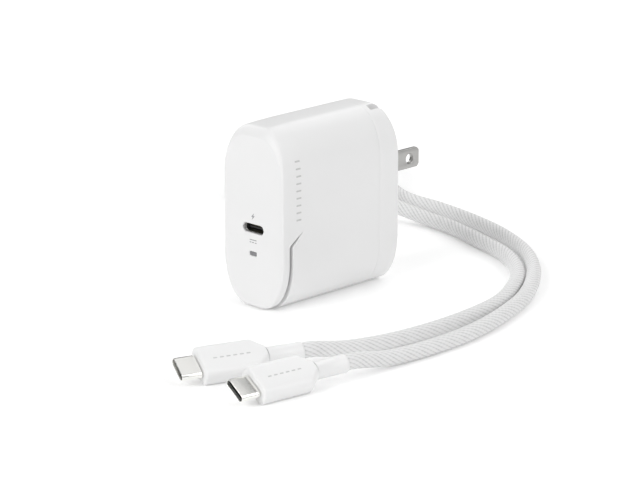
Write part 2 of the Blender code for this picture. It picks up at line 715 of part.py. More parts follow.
def transformer(charger):
    """Two E cores face to face, their centre legs inside a wound bobbin."""
    ferrite = material("ferrite_grey", FERRITE, 0.7)
    x, y, z = -1.0 * MM, -10.0 * MM, 18.3 * MM
    half_x, half_z = 7.5 * MM, 10.3 * MM
    back, leg, depth = 3.5 * MM, 3.0 * MM, 8.5 * MM
    post = 3.4 * MM
    for side, word in ((-1, "front"), (1, "rear")):
        profile = [(depth, -half_z), (depth, half_z), (GAP / 2, half_z), (GAP / 2, half_z - leg),
                   (depth - back, half_z - leg), (depth - back, post), (GAP / 2, post),
                   (GAP / 2, -post), (depth - back, -post), (depth - back, leg - half_z),
                   (GAP / 2, leg - half_z), (GAP / 2, -half_z)]
        profile = [(y + side * along, z + up) for along, up in profile]
        core = plate("transformer_core_" + word, profile, x - half_x, x + half_x, "X", charger,
                     ferrite)
        for edge in (-1, 1):
            # the centre leg is square, so the space beside it is cut away
            inner, outer = x + edge * post, x + edge * (half_x + 1 * MM)
            name = "core_cutter_%s_%s" % (word, "right" if edge > 0 else "left")
            ends = sorted((y, y + side * (depth - back)))
            beside = box(name, (min(inner, outer), ends[0] - 0.1 * MM * (side > 0), z - half_z + leg),
                         (max(inner, outer), ends[1] + 0.1 * MM * (side < 0), z + half_z - leg),
                         None, collection="cutters")
            cut(core, beside, "window_%d" % edge)
    tube_in, tube_out, flange, wound = 5.1 * MM, 5.5 * MM, 7.0 * MM, 6.7 * MM
    reach, rim = 4.6 * MM, 0.7 * MM
    bobbin = [(tube_in, -reach), (tube_in, reach), (flange, reach), (flange, reach - rim),
              (tube_out, reach - rim), (tube_out, rim - reach), (flange, rim - reach),
              (flange, -reach)]
    turned("transformer_bobbin", bobbin, "Y", (x, y, z), charger,
           material("bobbin_black", BLACK_PLASTIC, 0.5), sides=24)
    inner, half = tube_out + GAP, reach - rim - GAP
    winding = [(inner, -half), (inner, half), (wound, half), (wound, -half)]
    turned("transformer_winding", winding, "Y", (x, y, z), charger,
           material("winding_yellow", TAPE_YELLOW, 0.4), sides=24)


def choke(charger):
    """Square ring core with a winding on each of its long legs."""
    x, y, z = -1.0 * MM, -10.0 * MM, 42.5 * MM
    half_y, half_z, leg = 7.0 * MM, 6.0 * MM, 3.0 * MM
    core = box("choke_core", (x - 2.5 * MM, y - half_y, z - half_z),
               (x + 2.5 * MM, y + half_y, z + half_z), charger,
               material("choke_ferrite", FERRITE, 0.7))
    window = box("choke_cutter", (x - 4 * MM, y - half_y + leg, z - half_z + leg),
                 (x + 4 * MM, y + half_y - leg, z + half_z - leg), None, collection="cutters")
    cut(core, window, "window")
    inner, outer, half = 3.2 * MM, 4.2 * MM, 3.6 * MM
    profile = [(inner, -half), (inner, half), (outer, half), (outer, -half)]
    for word, side in (("lower", -1), ("upper", 1)):
        turned("choke_winding_" + word, profile, "Y",
               (x, y, z + side * (half_z - leg / 2)), charger,
               material("choke_copper_" + word, COPPER, 0.35, 1.0), sides=20)


def capacitors(charger):
    black = material("capacitor_sleeve", SLEEVE_BLACK, 0.35)
    for word, x in (("left", -5.1), ("right", 4.5)):
        cylinder("bulk_capacitor_" + word, 4.5 * MM, 19.5 * MM, "Z",
                 (x * MM, -25.4 * MM, 38.2 * MM), charger, black, bevel=0.5 * MM)
    silver = material("capacitor_can", ALUMINIUM, 0.35, 1.0)
    for word, x in (("left", -6.9), ("middle", 0.0), ("right", 6.9)):
        cylinder("output_capacitor_" + word, 3.1 * MM, 11.0 * MM, "Z",
                 (x * MM, -24.6 * MM, 15.9 * MM), charger, silver, bevel=0.4 * MM)
    cylinder("aux_capacitor", 3.1 * MM, 11.0 * MM, "Z", (-5.5 * MM, 4.0 * MM, 41.0 * MM),
             charger, black, bevel=0.4 * MM)
    box("x_capacitor", (-8.5 * MM, -0.5 * MM, 8.5 * MM), (3.3 * MM, 7.6 * MM, 20.5 * MM),
        charger, material("capacitor_yellow", CAPACITOR_YELLOW, 0.4), bevel=0.4 * MM)
    cylinder("y_capacitor", 3.4 * MM, 2.4 * MM, "Y", (0, 0.6 * MM, 26.0 * MM), charger,
             material("ceramic_blue", CERAMIC_BLUE, 0.4), bevel=0.5 * MM)


def small_parts(charger):
    chip = material("package_black", CHIP_BLACK, 0.45)
    face = MAIN_BOARD_X - BOARD_THICKNESS / 2 - GAP
    box("gan_switch", (face - 0.9 * MM, -19.5 * MM, 33.5 * MM), (face, -11.5 * MM, 41.5 * MM),
        charger, chip)
    box("sync_rectifier", (face - 1.0 * MM, -19.5 * MM, 9.5 * MM), (face, -14.5 * MM, 15.5 * MM),
        charger, chip)
    box("bridge_rectifier", (face - 3.2 * MM, -0.2 * MM, 36.0 * MM), (face, 7.8 * MM, 44.0 * MM),
        charger, chip, bevel=0.3 * MM)
    cylinder("varistor", 4.0 * MM, 3.0 * MM, "X", (6.0 * MM, 3.6 * MM, 14.2 * MM), charger,
             material("varistor_blue", CAPACITOR_BLUE, 0.4), bevel=0.5 * MM)
    cylinder("fuse", 1.7 * MM, 9.0 * MM, "Z", (-8.8 * MM, 2.0 * MM, 28.0 * MM), charger,
             material("fuse_brown", TAPE_YELLOW, 0.4), bevel=0.3 * MM)
    box("heat_spreader", (-10.9 * MM, -19.0 * MM, 17.0 * MM), (-10.3 * MM, -2.0 * MM, 41.0 * MM),
        charger, material("spreader_aluminium", ALUMINIUM, 0.35, 1.0))
    box("thermal_pad", (-10.0 * MM, -16.0 * MM, 17.0 * MM), (-8.8 * MM, -4.0 * MM, 26.0 * MM),
        charger, material("pad_grey", PAD_GREY, 0.8))
    box("insulator_sheet", (10.3 * MM, -20.0 * MM, 17.0 * MM), (10.7 * MM, 7.0 * MM, 41.0 * MM),
        charger, material("film_white", FILM_WHITE, 0.4))


def leads(charger):
    """Insulated wires from the contact springs to the main board."""
    wire = material("wire_white", FILM_WHITE, 0.5)
    half = BLADE_SPACING / 2 / MM
    routes = {
        "left": [(-half, 4.1, 29.5), (-5.4, 3.6, 30.6), (-2.0, 3.6, 31.6), (3.0, 3.6, 31.8),
                 (6.6, 3.4, 32.4), (7.7, 3.0, 33.0)],
        "right": [(half, 4.1, 29.5), (6.5, 3.4, 28.6), (7.0, 2.8, 26.6), (7.6, 2.8, 25.0)],
    }
    for word, points in routes.items():
        places = [(x * MM, y * MM, z * MM) for x, y, z in points]
        tube("ac_lead_" + word, smooth_route(places, 2.0 * MM), 0.7 * MM, charger, wire)


# ---------------------------------------------------------------- cable
def plug(word, place, heading, cable, metal, white, black):
    """One USB-C plug lying on the floor, its mouth at place and its cable at the far end."""
    frame = add_empty("plug_frame_" + word, (place[0] * MM, place[1] * MM, PLUG_AXIS_HEIGHT),
                      (0, PLUG_ROLL, heading - QUARTER))
    frame.rotation_mode = "XYZ"
    frame.parent = cable
    name = "plug_%s_" % word
    outer = stadium(PLUG_SHELL_WIDTH, PLUG_SHELL_HEIGHT)
    inner = stadium(PLUG_SHELL_WIDTH - 0.6 * MM, PLUG_SHELL_HEIGHT - 0.6 * MM)
    shell_end = PLUG_SHELL_LENGTH - GAP
    loft(name + "shell", [ring_at(inner, shell_end - 0.5 * MM), ring_at(inner, 0),
                          ring_at(outer, 0), ring_at(outer, shell_end)], frame, metal)
    liner = stadium(PLUG_SHELL_WIDTH - 1.3 * MM, PLUG_SHELL_HEIGHT - 1.3 * MM)
    loft(name + "insert", [ring_at(liner, 3.0 * MM), ring_at(liner, shell_end - 0.9 * MM)],
         frame, black)
    start_y, end_y = PLUG_SHELL_LENGTH, PLUG_SHELL_LENGTH + PLUG_BODY_LENGTH
    width, height = PLUG_BODY_WIDTH, PLUG_BODY_HEIGHT
    neck = 2 * PLUG_SLEEVE_RADIUS + 0.5 * MM
    sections = [(start_y, width - 1.2 * MM, height - 1.2 * MM, 2.2 * MM),
                (start_y + 0.6 * MM, width, height, 2.8 * MM),
                (end_y - 4.0 * MM, width, height, 2.8 * MM),
                (end_y - 1.8 * MM, width - 1.8 * MM, height, 2.8 * MM),
                (end_y - 0.5 * MM, width - 4.0 * MM, height - 0.1 * MM, 2.9 * MM),
                (end_y, neck, neck - 0.3 * MM, 2.9 * MM)]
    loft(name + "body", [ring_at(rounded(w, h, r), y) for y, w, h, r in sections], frame, white)
    sleeve = [(0, 0), (PLUG_SLEEVE_RADIUS, 0), (PLUG_SLEEVE_RADIUS, PLUG_SLEEVE_LENGTH - 0.5 * MM),
              (PLUG_SLEEVE_RADIUS - 0.4 * MM, PLUG_SLEEVE_LENGTH), (0, PLUG_SLEEVE_LENGTH)]
    turned(name + "sleeve", sleeve[::-1], "Y", (0, end_y + GAP, 0), frame, white)
    length = end_y + 3 * GAP + PLUG_SLEEVE_LENGTH
    return [(place[0] * MM + along * math.cos(heading),
             place[1] * MM + along * math.sin(heading), PLUG_AXIS_HEIGHT)
            for along in (length, length + PLUG_LEAD_OUT)]


def cable_run(word, leads_out, route, cable, mat):
    """The uncoiled stretch between a plug and the coil."""
    places = leads_out + [(x * MM, y * MM, z * MM) for x, y, z in route]
    points = smooth_route(places, CABLE_SPACING)
    points = [(x, y, max(z, CABLE_FLOOR)) for x, y, z in points]
    tube("cable_run_" + word, points, CABLE_DIAMETER / 2, cable, mat)


def coil(cable, mat):
    inner, outer = COIL_RADIUS - COIL_HALF_WIDTH, COIL_RADIUS + COIL_HALF_WIDTH
    soft = 1.2 * MM
    profile = [(outer, COIL_HEIGHT - soft), (outer, soft), (outer - soft, 0), (inner + soft, 0),
               (inner, soft), (inner, COIL_HEIGHT - soft), (inner + soft, COIL_HEIGHT),
               (outer - soft, COIL_HEIGHT)]
    turned("cable_coil", profile, "Z", (*COIL_CENTRE, 0), cable, mat, sides=40)
    frame = add_empty("tie_frame", (*COIL_CENTRE, 0), (0, 0, TIE_ANGLE))
    frame.parent = cable
    low, high, top = inner - 1.4 * MM, outer + 1.1 * MM, COIL_HEIGHT + 1.1 * MM
    band = 0.8 * MM
    outline = [(low, 0.1 * MM), (low + band, 0.1 * MM), (low + band, top - band),
               (high - band, top - band), (high - band, 0.1 * MM), (high, 0.1 * MM), (high, top),
               (low, top)]
    plate("cable_tie", outline, -4.0 * MM, 4.0 * MM, "Y", frame,
          material("tie_white", WHITE_PLASTIC, 0.6))


def loose_cable():
    cable = add_empty("cable")
    braid = material("braid_white", BRAID_WHITE, 0.75)
    white = material("plug_white", WHITE_PLASTIC, 0.4)
    metal = material("plug_steel", STEEL, 0.3, 1.0)
    black = material("plug_black", BLACK_PLASTIC, 0.5)
    ends = {}
    for word, (place, heading) in (("a", PLUG_A), ("b", PLUG_B)):
        ends[word] = plug(word, place, heading, cable, metal, white, black)
    cable_run("a", ends["a"], RUN_A, cable, braid)
    cable_run("b", ends["b"], RUN_B, cable, braid)
    coil(cable, braid)


def build():
    start()
    charger = add_empty("charger")
    cutters = blade_cutters(-1) + blade_cutters(1)
    front_cover(charger)
    main_shell(charger)
    rear_cap(charger, cutters)
    prong_cradle(charger, cutters)
    blades()
    springs(charger)
    usb_port(charger)
    light(charger)
    boards(charger)
    transformer(charger)
    choke(charger)
    capacitors(charger)
    small_parts(charger)
    leads(charger)
    loose_cable()


build()
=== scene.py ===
import math

import bmesh
import bpy
import numpy as np
from mathutils import Matrix, Vector


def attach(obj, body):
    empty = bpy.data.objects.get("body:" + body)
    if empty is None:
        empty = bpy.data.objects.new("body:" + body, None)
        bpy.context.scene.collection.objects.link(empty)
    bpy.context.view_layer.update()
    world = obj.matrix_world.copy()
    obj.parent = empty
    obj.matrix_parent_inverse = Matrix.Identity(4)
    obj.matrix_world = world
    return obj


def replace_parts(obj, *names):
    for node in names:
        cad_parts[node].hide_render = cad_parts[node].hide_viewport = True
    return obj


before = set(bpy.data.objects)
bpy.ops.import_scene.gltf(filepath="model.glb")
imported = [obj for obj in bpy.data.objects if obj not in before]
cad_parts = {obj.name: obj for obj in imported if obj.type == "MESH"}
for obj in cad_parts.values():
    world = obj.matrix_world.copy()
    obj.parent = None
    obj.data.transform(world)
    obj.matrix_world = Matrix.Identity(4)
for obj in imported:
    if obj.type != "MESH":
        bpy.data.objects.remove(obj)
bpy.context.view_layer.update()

# The charger stands on its narrow base, port at -Y and blades at +Y, with its
# loose cable on the floor beside it. Lengths are in metres.
MM = 0.001
QUARTER = math.pi / 2

# Housing, close to the solids; the step line and the edges are drawn more finely
WIDTH, DEPTH, HEIGHT = 27.0 * MM, 51.0 * MM, 58.0 * MM
WALL = 1.8 * MM
FLAT_HALF = 3.0 * MM
CORNER_HEIGHT = 16.5 * MM
CORNER_POWER = 2.1
FRONT_EDGE_RADII = (0.65 * MM, 2.8 * MM)    # up the sides, and over the top
REAR_EDGE_RADII = (0.8 * MM, 4.5 * MM)
FACE_BREAK = math.radians(50)   # the front edge meets the face at a slight angle
RELIEF = 0.5 * MM
STEP_DEPTH = 3.4 * MM
STEP_TOP, SLANT_TOP = 21.5 * MM, 25.7 * MM
SLANT_DEPTH = 8.4 * MM
RELIEF_FADE = 14.0 * MM
FRONT = -33.5 * MM
REAR = FRONT + DEPTH
CAP_DEPTH = 8.7 * MM
SEAM = REAR - CAP_DEPTH
GROOVE = 0.7 * MM           # width of the groove along the step
GROOVE_FLARE = (0.75 * MM, 1.9 * MM)    # how the band rolls into it, inward and along
HAIRLINE = 0.004 * MM       # where the pieces meet flush
SEAM_GAP = 0.03 * MM
RIBS, RIB_PITCH, RIB_WIDTH, RIB_HEIGHT = 9, 2.3 * MM, 2.0 * MM, 0.5 * MM
RIB_Y, RIB_FOOT = FRONT + 6.6 * MM, 29.6 * MM

# Blades
BLADE_LENGTH, BLADE_WIDTH, BLADE_THICKNESS = 16.0 * MM, 6.35 * MM, 1.5 * MM
BLADE_X = 6.35 * MM
PIVOT_INSET = 3.3 * MM
PIVOT_Y, PIVOT_Z = REAR - PIVOT_INSET, 37.4 * MM
SLOT_WIDTH, SLOT_DEPTH = 2.2 * MM, 6.8 * MM
POCKET_RADIUS, POCKET_WIDTH = 5.4 * MM, 4.6 * MM
HUB_RADIUS, DRUM_RADIUS, DRUM_WIDTH, HUB_LENGTH = 2.3 * MM, 2.9 * MM, 4.0 * MM, 18.8 * MM
LUG_WIDTH = 3.8 * MM

# Port and light
PORT_Z, PORT_WIDTH, PORT_OPENING, PORT_LIP = 25.5 * MM, 9.0 * MM, 2.9 * MM, 0.8 * MM
SHELL_WIDTH, SHELL_HEIGHT, SHELL_WALL, SHELL_DEPTH = 8.94 * MM, 3.2 * MM, 0.3 * MM, 7.3 * MM
TONGUE_WIDTH, TONGUE_THICKNESS = 6.7 * MM, 0.7 * MM
LED_Z, LED_WIDTH, LED_OPENING = 17.5 * MM, 3.0 * MM, 1.3 * MM

# Cable
CABLE_RADIUS = 2.4 * MM
PLUG_ROLL = math.radians(30)
PLUG_Z = 4.8 * MM
PLUG_SHELL = (8.25 * MM, 2.4 * MM, 6.65 * MM)
PLUG_BODY = (12.0 * MM, 6.2 * MM, 21.0 * MM)
SLEEVE_RADIUS, SLEEVE_LENGTH = 2.8 * MM, 11.5 * MM
SLEEVE_START = PLUG_SHELL[2] + PLUG_BODY[2] + 0.3 * MM
SLEEVE_END = SLEEVE_START + SLEEVE_LENGTH
DASHES, DASH_PITCH, DASH_START = 6, 2.1 * MM, 4.5 * MM
PLUGS = {"a": ((62.5, -101.7), math.radians(82.8)), "b": ((37.4, -100.3), math.radians(70.5))}
COIL_CENTRE, COIL_RADIUS = Vector((-82.0, 75.0)), 26.0
COIL_START, COIL_END = 54.7, 1018.5     # degrees about the coil's centre
COIL_LEVELS = (2.45, 7.35, 12.25)
COIL_CLIMB, COIL_CLIMB_SPAN = 330.0, 50.0
COIL_HEIGHT = 14.9 * MM
COIL_KNOTS = 62
CURVE_STEPS = 24            # between two knots of the cable's route
TIE_ANGLE = math.radians(134.6)
STRANDS = 11                # in each direction round the braid
STRAND_PITCH = 2.3 * MM     # from one strand to the next, along the cable

RUN_A = [
    (69.3, -46.0, 3.0), (70.2, -30.0, 2.5), (69.4, -11.5, 2.5), (65.0, 7.8, 2.5),
    (56.6, 29.0, 2.5), (42.5, 49.5, 2.5), (25.8, 64.8, 2.5), (7.0, 75.0, 2.5),
    (-12.0, 81.0, 2.5), (-30.0, 84.3, 2.5), (-42.0, 85.0, 2.5), (-52.0, 87.8, 2.5),
]
RUN_B = [
    (54.6, -47.5, 3.0), (57.8, -32.0, 2.5), (59.2, -14.0, 2.5), (58.2, 2.8, 2.5),
    (55.2, 18.2, 2.5), (48.9, 31.5, 2.5), (39.4, 45.2, 2.5), (24.2, 57.6, 2.5),
    (5.0, 65.0, 2.5), (-12.0, 70.3, 2.5), (-25.0, 71.6, 2.8), (-36.0, 69.8, 4.8),
    (-45.0, 65.6, 8.0), (-53.2, 61.2, 10.9),
]


# ---------------------------------------------------------------- materials
class Surface:
    """A material's node tree, with short calls for the nodes that it needs."""

    def __init__(self, name, metallic=0.0, coat=0.0):
        self.material = bpy.data.materials.new(name)
        self.material.use_nodes = True
        self.tree = self.material.node_tree
        self.shader = self.tree.nodes["Principled BSDF"]
        self.shader.inputs["Metallic"].default_value = metallic
        self.shader.inputs["Coat Weight"].default_value = coat
        self.place = self.node("ShaderNodeTexCoord").outputs["Object"]

    def node(self, kind, **values):
        made = self.tree.nodes.new(kind)
        for name, value in values.items():
            setattr(made, name, value)
        return made

    def join(self, source, target):
        self.tree.links.new(source, target)

    def noise(self, scale, detail=3.0, stretch=(1.0, 1.0, 1.0), rough=0.5):
        spread = self.node("ShaderNodeMapping")
        spread.inputs["Scale"].default_value = stretch
        self.join(self.place, spread.inputs["Vector"])
        made = self.node("ShaderNodeTexNoise")
        made.inputs["Scale"].default_value = scale
        made.inputs["Detail"].default_value = detail
        made.inputs["Roughness"].default_value = rough
        self.join(spread.outputs["Vector"], made.inputs["Vector"])
        return made.outputs["Fac"]

    def spread(self, source, low, high, from_low=0.3, from_high=0.7):
        made = self.node("ShaderNodeMapRange")
        for name, value in (("From Min", from_low), ("From Max", from_high),
                            ("To Min", low), ("To Max", high)):
            made.inputs[name].default_value = value
        self.join(source, made.inputs["Value"])
        return made.outputs["Result"]

    def combine(self, operation, first, second):
        made = self.node("ShaderNodeMath", operation=operation)
        self.join(first, made.inputs[0])
        self.join(second, made.inputs[1])
        return made.outputs["Value"]

    def ramp(self, source, stops):
        made = self.node("ShaderNodeValToRGB")
        bar = made.color_ramp
        while len(bar.elements) < len(stops):
            bar.elements.new(0.5)
        for element, (place, colour) in zip(bar.elements, stops):
            element.position = place
            element.color = (*colour, 1.0)
        self.join(source, made.inputs["Fac"])
        return made.outputs["Color"]

    def colour(self, source):
        self.join(source, self.shader.inputs["Base Color"])

    def roughness(self, source):
        self.join(source, self.shader.inputs["Roughness"])

    def bump(self, source, distance, strength=1.0):
        made = self.node("ShaderNodeBump")
        made.inputs["Distance"].default_value = distance
        made.inputs["Strength"].default_value = strength
        self.join(source, made.inputs["Height"])
        self.join(made.outputs["Normal"], self.shader.inputs["Normal"])


def tint(colour, share):
    return tuple(min(1.0, part * share) for part in colour)


def moulded(name, colour, rough=(0.34, 0.44), grain=5200.0, depth=0.006 * MM):
    """Moulded plastic: a very fine spark-eroded grain over broad, faint flow marks."""
    made = Surface(name)
    broad = made.noise(38.0, 2.0, (1.0, 0.45, 1.0))
    made.colour(made.ramp(broad, [(0.32, tint(colour, 0.98)), (0.68, colour)]))
    made.roughness(made.spread(made.noise(240.0, 4.0), *rough))
    made.bump(made.noise(grain, 4.0, rough=0.6), depth, 0.55)
    made.shader.inputs["Specular IOR Level"].default_value = 0.45
    return made.material


def brushed(name, colour, rough=(0.26, 0.42), along="Y", lines=2600.0, depth=0.004 * MM, wear=0.1):
    """Metal with fine lines along one axis and slightly uneven lustre."""
    made = Surface(name, metallic=1.0)
    stretch = tuple(0.035 if axis == along else 1.0 for axis in "XYZ")
    streaks = made.noise(lines, 5.0, stretch, 0.65)
    patches = made.noise(260.0, 3.0)
    made.colour(made.ramp(made.combine("MULTIPLY", streaks, patches),
                          [(0.12, tint(colour, 1 - wear)), (0.4, colour)]))
    made.roughness(made.spread(made.combine("ADD", streaks, patches), *rough, 0.7, 1.3))
    made.bump(streaks, depth, 0.6)
    return made.material


def board(name, colour):
    """Solder mask over copper tracks."""
    made = Surface(name, coat=0.25)
    tracks = made.node("ShaderNodeTexBrick")
    made.join(made.place, tracks.inputs["Vector"])
    tracks.inputs["Scale"].default_value = 620.0
    tracks.inputs["Mortar Size"].default_value = 0.035
    tracks.inputs["Color1"].default_value = (*colour, 1.0)
    tracks.inputs["Color2"].default_value = (*tint(colour, 0.85), 1.0)
    tracks.inputs["Mortar"].default_value = (*tint(colour, 2.2), 1.0)
    made.colour(tracks.outputs["Color"])
    made.roughness(made.spread(made.noise(900.0), 0.3, 0.5))
    made.bump(tracks.outputs["Fac"], 0.03 * MM)
    return made.material


def wound(name, colour, pitch, metallic=0.0, across="Y"):
    """Turns of wire or tape, side by side across one axis, with painted shade in the grooves
    between the turns.
    """
    made = Surface(name, metallic=metallic, coat=0.2)
    turns = made.node("ShaderNodeTexWave", bands_direction=across)
    made.join(made.place, turns.inputs["Vector"])
    turns.inputs["Scale"].default_value = math.pi / 10 / pitch
    turns.inputs["Distortion"].default_value = 0.35
    # Painted shade: the colour drops to about half where the bump dips between neighbouring turns.
    made.colour(made.ramp(turns.outputs["Fac"], [(0.1, tint(colour, 0.55)), (0.7, colour)]))
    made.roughness(made.spread(made.noise(1500.0), 0.25, 0.45))
    made.bump(turns.outputs["Fac"], 0.08 * MM)
    return made.material


def sintered(name, colour, rough=(0.6, 0.85)):
    """Ferrite, ceramic or epoxy: a speckled, slightly pitted face."""
    made = Surface(name)
    specks = made.noise(2600.0, 5.0, rough=0.7)
    made.colour(made.ramp(specks, [(0.35, tint(colour, 0.7)), (0.65, tint(colour, 1.25))]))
    made.roughness(made.spread(made.noise(700.0), *rough))
    made.bump(specks, 0.02 * MM, 0.7)
    return made.material


def braided(name, colour):
    """Woven yarn: the relief is in the mesh, and the shader adds the filaments and paints shade
    into the low places between and under the strands.
    """
    made = Surface(name)
    relief = made.node("ShaderNodeAttribute", attribute_name="relief").outputs["Fac"]
    weave = made.node("ShaderNodeAttribute", attribute_name="strand").outputs["Vector"]
    lines = made.node("ShaderNodeTexWave", bands_direction="X")
    lines.inputs["Scale"].default_value = 1.6
    lines.inputs["Distortion"].default_value = 1.2
    lines.inputs["Detail Scale"].default_value = 3.0
    made.join(weave, lines.inputs["Vector"])
    fuzz = made.noise(3800.0, 4.0, rough=0.7)
    yarn = made.combine("ADD", made.spread(lines.outputs["Fac"], 0.0, 0.12, 0.0, 1.0),
                     made.spread(fuzz, 0.0, 0.12))
    # Painted shade: the colour darkens where the relief is low, between the strands and where one
    # strand dives under the other.
    made.colour(made.ramp(made.combine("ADD", relief, yarn),
                          [(0.0, tint(colour, 0.3)), (0.3, tint(colour, 0.72)),
                           (0.62, tint(colour, 0.95)), (0.95, colour)]))
    made.roughness(made.spread(fuzz, 0.62, 0.85))
    made.bump(made.combine("ADD", lines.outputs["Fac"], fuzz), 0.02 * MM, 0.6)
    made.shader.inputs["Sheen Weight"].default_value = 0.25
    made.shader.inputs["Sheen Roughness"].default_value = 0.4
    return made.material


def smoked(name, colour):
    """Tinted clear plastic with a soft milky core."""
    made = Surface(name, coat=0.5)
    made.colour(made.ramp(made.noise(700.0, 2.0), [(0.3, tint(colour, 0.8)), (0.7, colour)]))
    made.roughness(made.spread(made.noise(1500.0), 0.16, 0.28))
    made.bump(made.noise(5000.0), 0.003 * MM)
    return made.material


def printed(name, colour):
    made = Surface(name)
    dots = made.noise(9000.0, 3.0, rough=0.7)
    made.colour(made.ramp(dots, [(0.3, tint(colour, 0.85)), (0.7, tint(colour, 1.1))]))
    made.roughness(made.spread(dots, 0.5, 0.7))
    made.bump(dots, 0.004 * MM)
    return made.material


WHITE = (0.8, 0.8, 0.8)
white_cover = moulded("cover_plastic", WHITE)
white_shell = moulded("shell_plastic", WHITE)
white_inner = moulded("inner_plastic", tint(WHITE, 0.93), (0.45, 0.6))
blade_metal = brushed("blade_nickel", (0.46, 0.455, 0.445))
port_metal = brushed("port_steel", (0.58, 0.58, 0.56), lines=3200.0)
plug_metal = brushed("plug_steel", (0.9, 0.895, 0.87), (0.2, 0.27), lines=5200.0,
                     depth=0.002 * MM, wear=0.03)
port_black = moulded("port_black", (0.012, 0.012, 0.013), (0.35, 0.5))
contact_gold = brushed("contact_gold", (0.8, 0.58, 0.25), (0.2, 0.32))
plug_white = moulded("plug_plastic", tint(WHITE, 1.03), (0.3, 0.4))
braid_white = braided("braid_yarn", (0.78, 0.78, 0.78))
tie_white = moulded("tie_rubber", tint(WHITE, 0.95), (0.55, 0.7), grain=3000.0, depth=0.02 * MM)
light_lens = smoked("light_lens", (0.2, 0.2, 0.21))
mark_grey = printed("mark_ink", (0.3, 0.3, 0.31))
# Painted shade: the raised ribs and dashes take a darker grey that stands in for the shade round
# their edges.
emboss_painted_shade = moulded("emboss_plastic_painted_shade", tint(WHITE, 0.7), (0.4, 0.5))


# ---------------------------------------------------------------- mesh tools
def piece(name, source, material, body, smooth=38):
    """A new piece from a bmesh or a mesh, riding on its body."""
    if isinstance(source, bmesh.types.BMesh):
        bmesh.ops.recalc_face_normals(source, faces=source.faces)
        mesh = bpy.data.meshes.new(name)
        source.to_mesh(mesh)
        source.free()
    else:
        mesh = source
        mesh.name = name
    mesh.materials.clear()
    mesh.materials.append(material)
    mesh.shade_smooth()
    if smooth:
        mesh.set_sharp_from_angle(angle=math.radians(smooth))
    obj = bpy.data.objects.new(name, mesh)
    bpy.context.scene.collection.objects.link(obj)
    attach(obj, body)
    return obj


def add_ring(bm, points):
    return [bm.verts.new(point) for point in points]


def bridge(bm, first, second):
    for i in range(len(first)):
        j = (i + 1) % len(first)
        bm.faces.new((first[i], first[j], second[j], second[i]))


def fill_between(bm, *rings):
    """A flat face inside the first ring, with the other rings left open."""
    edges = []
    for ring in rings:
        for i, vert in enumerate(ring):
            other = ring[(i + 1) % len(ring)]
            edges.append(bm.edges.get((vert, other)) or bm.edges.new((vert, other)))
    bmesh.ops.triangle_fill(bm, use_beauty=True, use_dissolve=False, edges=edges)


def skin(bm, rings, cap=(True, True)):
    """Rings of points joined in order; returns the rings of vertices."""
    made = [add_ring(bm, ring) for ring in rings]
    for first, second in zip(made, made[1:]):
        bridge(bm, first, second)
    if cap[0]:
        bm.faces.new(made[0])
    if cap[1]:
        bm.faces.new(made[-1])
    return made


def stadium(width, height, steps=14):
    radius = min(width, height) / 2
    reach_x, reach_z = width / 2 - radius, height / 2 - radius
    points = []
    for quarter in range(4):
        side_x = 1 if quarter in (0, 3) else -1
        side_z = 1 if quarter in (0, 1) else -1
        for step in range(steps):
            angle = QUARTER * (quarter + (step + 0.5) / steps)
            points.append((side_x * reach_x + radius * math.cos(angle),
                           side_z * reach_z + radius * math.sin(angle)))
    return points


def rounded_section(width, height, radius, power=2.4, steps=9):
    """A rectangle with soft superelliptic corners."""
    points = []
    for quarter, (side_x, side_z) in enumerate(((1, 1), (-1, 1), (-1, -1), (1, -1))):
        for step in range(steps):
            angle = QUARTER * step / (steps - 1)
            first, second = math.cos(angle), math.sin(angle)
            if quarter % 2:
                first, second = second, first
            x = abs(first) ** (2 / power) * radius
            z = abs(second) ** (2 / power) * radius
            points.append((side_x * (width / 2 - radius + x), side_z * (height / 2 - radius + z)))
    return points


def light_outline(width, height):
    return rounded_section(width, height, 0.36 * MM, 2.2)


def at_depth(points, y, height=0.0):
    return [(x, y, z + height) for x, z in points]


def arc(radius, steps=5):
    """Pairs of how far in and how far along, round a quarter turn."""
    return [(radius * (1 - math.cos(QUARTER * i / steps)),
             radius * (1 - math.sin(QUARTER * i / steps))) for i in range(steps + 1)]


def flat_plate(outlines, low, high, axis, soften=0.0):
    """A mesh of flat outlines with holes, as thick as low to high, with round edges."""
    curve = bpy.data.curves.new("outline", "CURVE")
    curve.dimensions = "2D"
    curve.fill_mode = "BOTH"
    curve.extrude = (high - low) / 2 - soften
    curve.bevel_depth = soften
    curve.bevel_resolution = 2
    curve.offset = -soften
    for outline in outlines:
        spline = curve.splines.new("POLY")
        spline.points.add(len(outline) - 1)
        for point, (across, up) in zip(spline.points, outline):
            point.co = (across, up, 0, 1)
        spline.use_cyclic_u = True
    drawn = bpy.data.objects.new("outline", curve)
    bpy.context.scene.collection.objects.link(drawn)
    graph = bpy.context.evaluated_depsgraph_get()
    mesh = bpy.data.meshes.new_from_object(drawn.evaluated_get(graph))
    bpy.data.objects.remove(drawn, do_unlink=True)
    bpy.data.curves.remove(curve)
    middle = (high + low) / 2
    if axis == "X":
        place = Matrix.Translation((middle, 0, 0)) @ Matrix(
            ((0, 0, 1, 0), (1, 0, 0, 0), (0, 1, 0, 0), (0, 0, 0, 1)))
    else:
        place = Matrix.Translation((0, middle, 0)) @ Matrix(
            ((1, 0, 0, 0), (0, 0, -1, 0), (0, 1, 0, 0), (0, 0, 0, 1)))
    bm = bmesh.new()
    bm.from_mesh(mesh)
    bpy.data.meshes.remove(mesh)
    bmesh.ops.remove_doubles(bm, verts=bm.verts, dist=0.0005 * MM)
    bmesh.ops.transform(bm, matrix=place, verts=bm.verts)
    return bm


def cutter(bm):
    bmesh.ops.recalc_face_normals(bm, faces=bm.faces)
    mesh = bpy.data.meshes.new("cutter")
    bm.to_mesh(mesh)
    bm.free()
    obj = bpy.data.objects.new("cutter", mesh)
    bpy.context.scene.collection.objects.link(obj)
    return obj


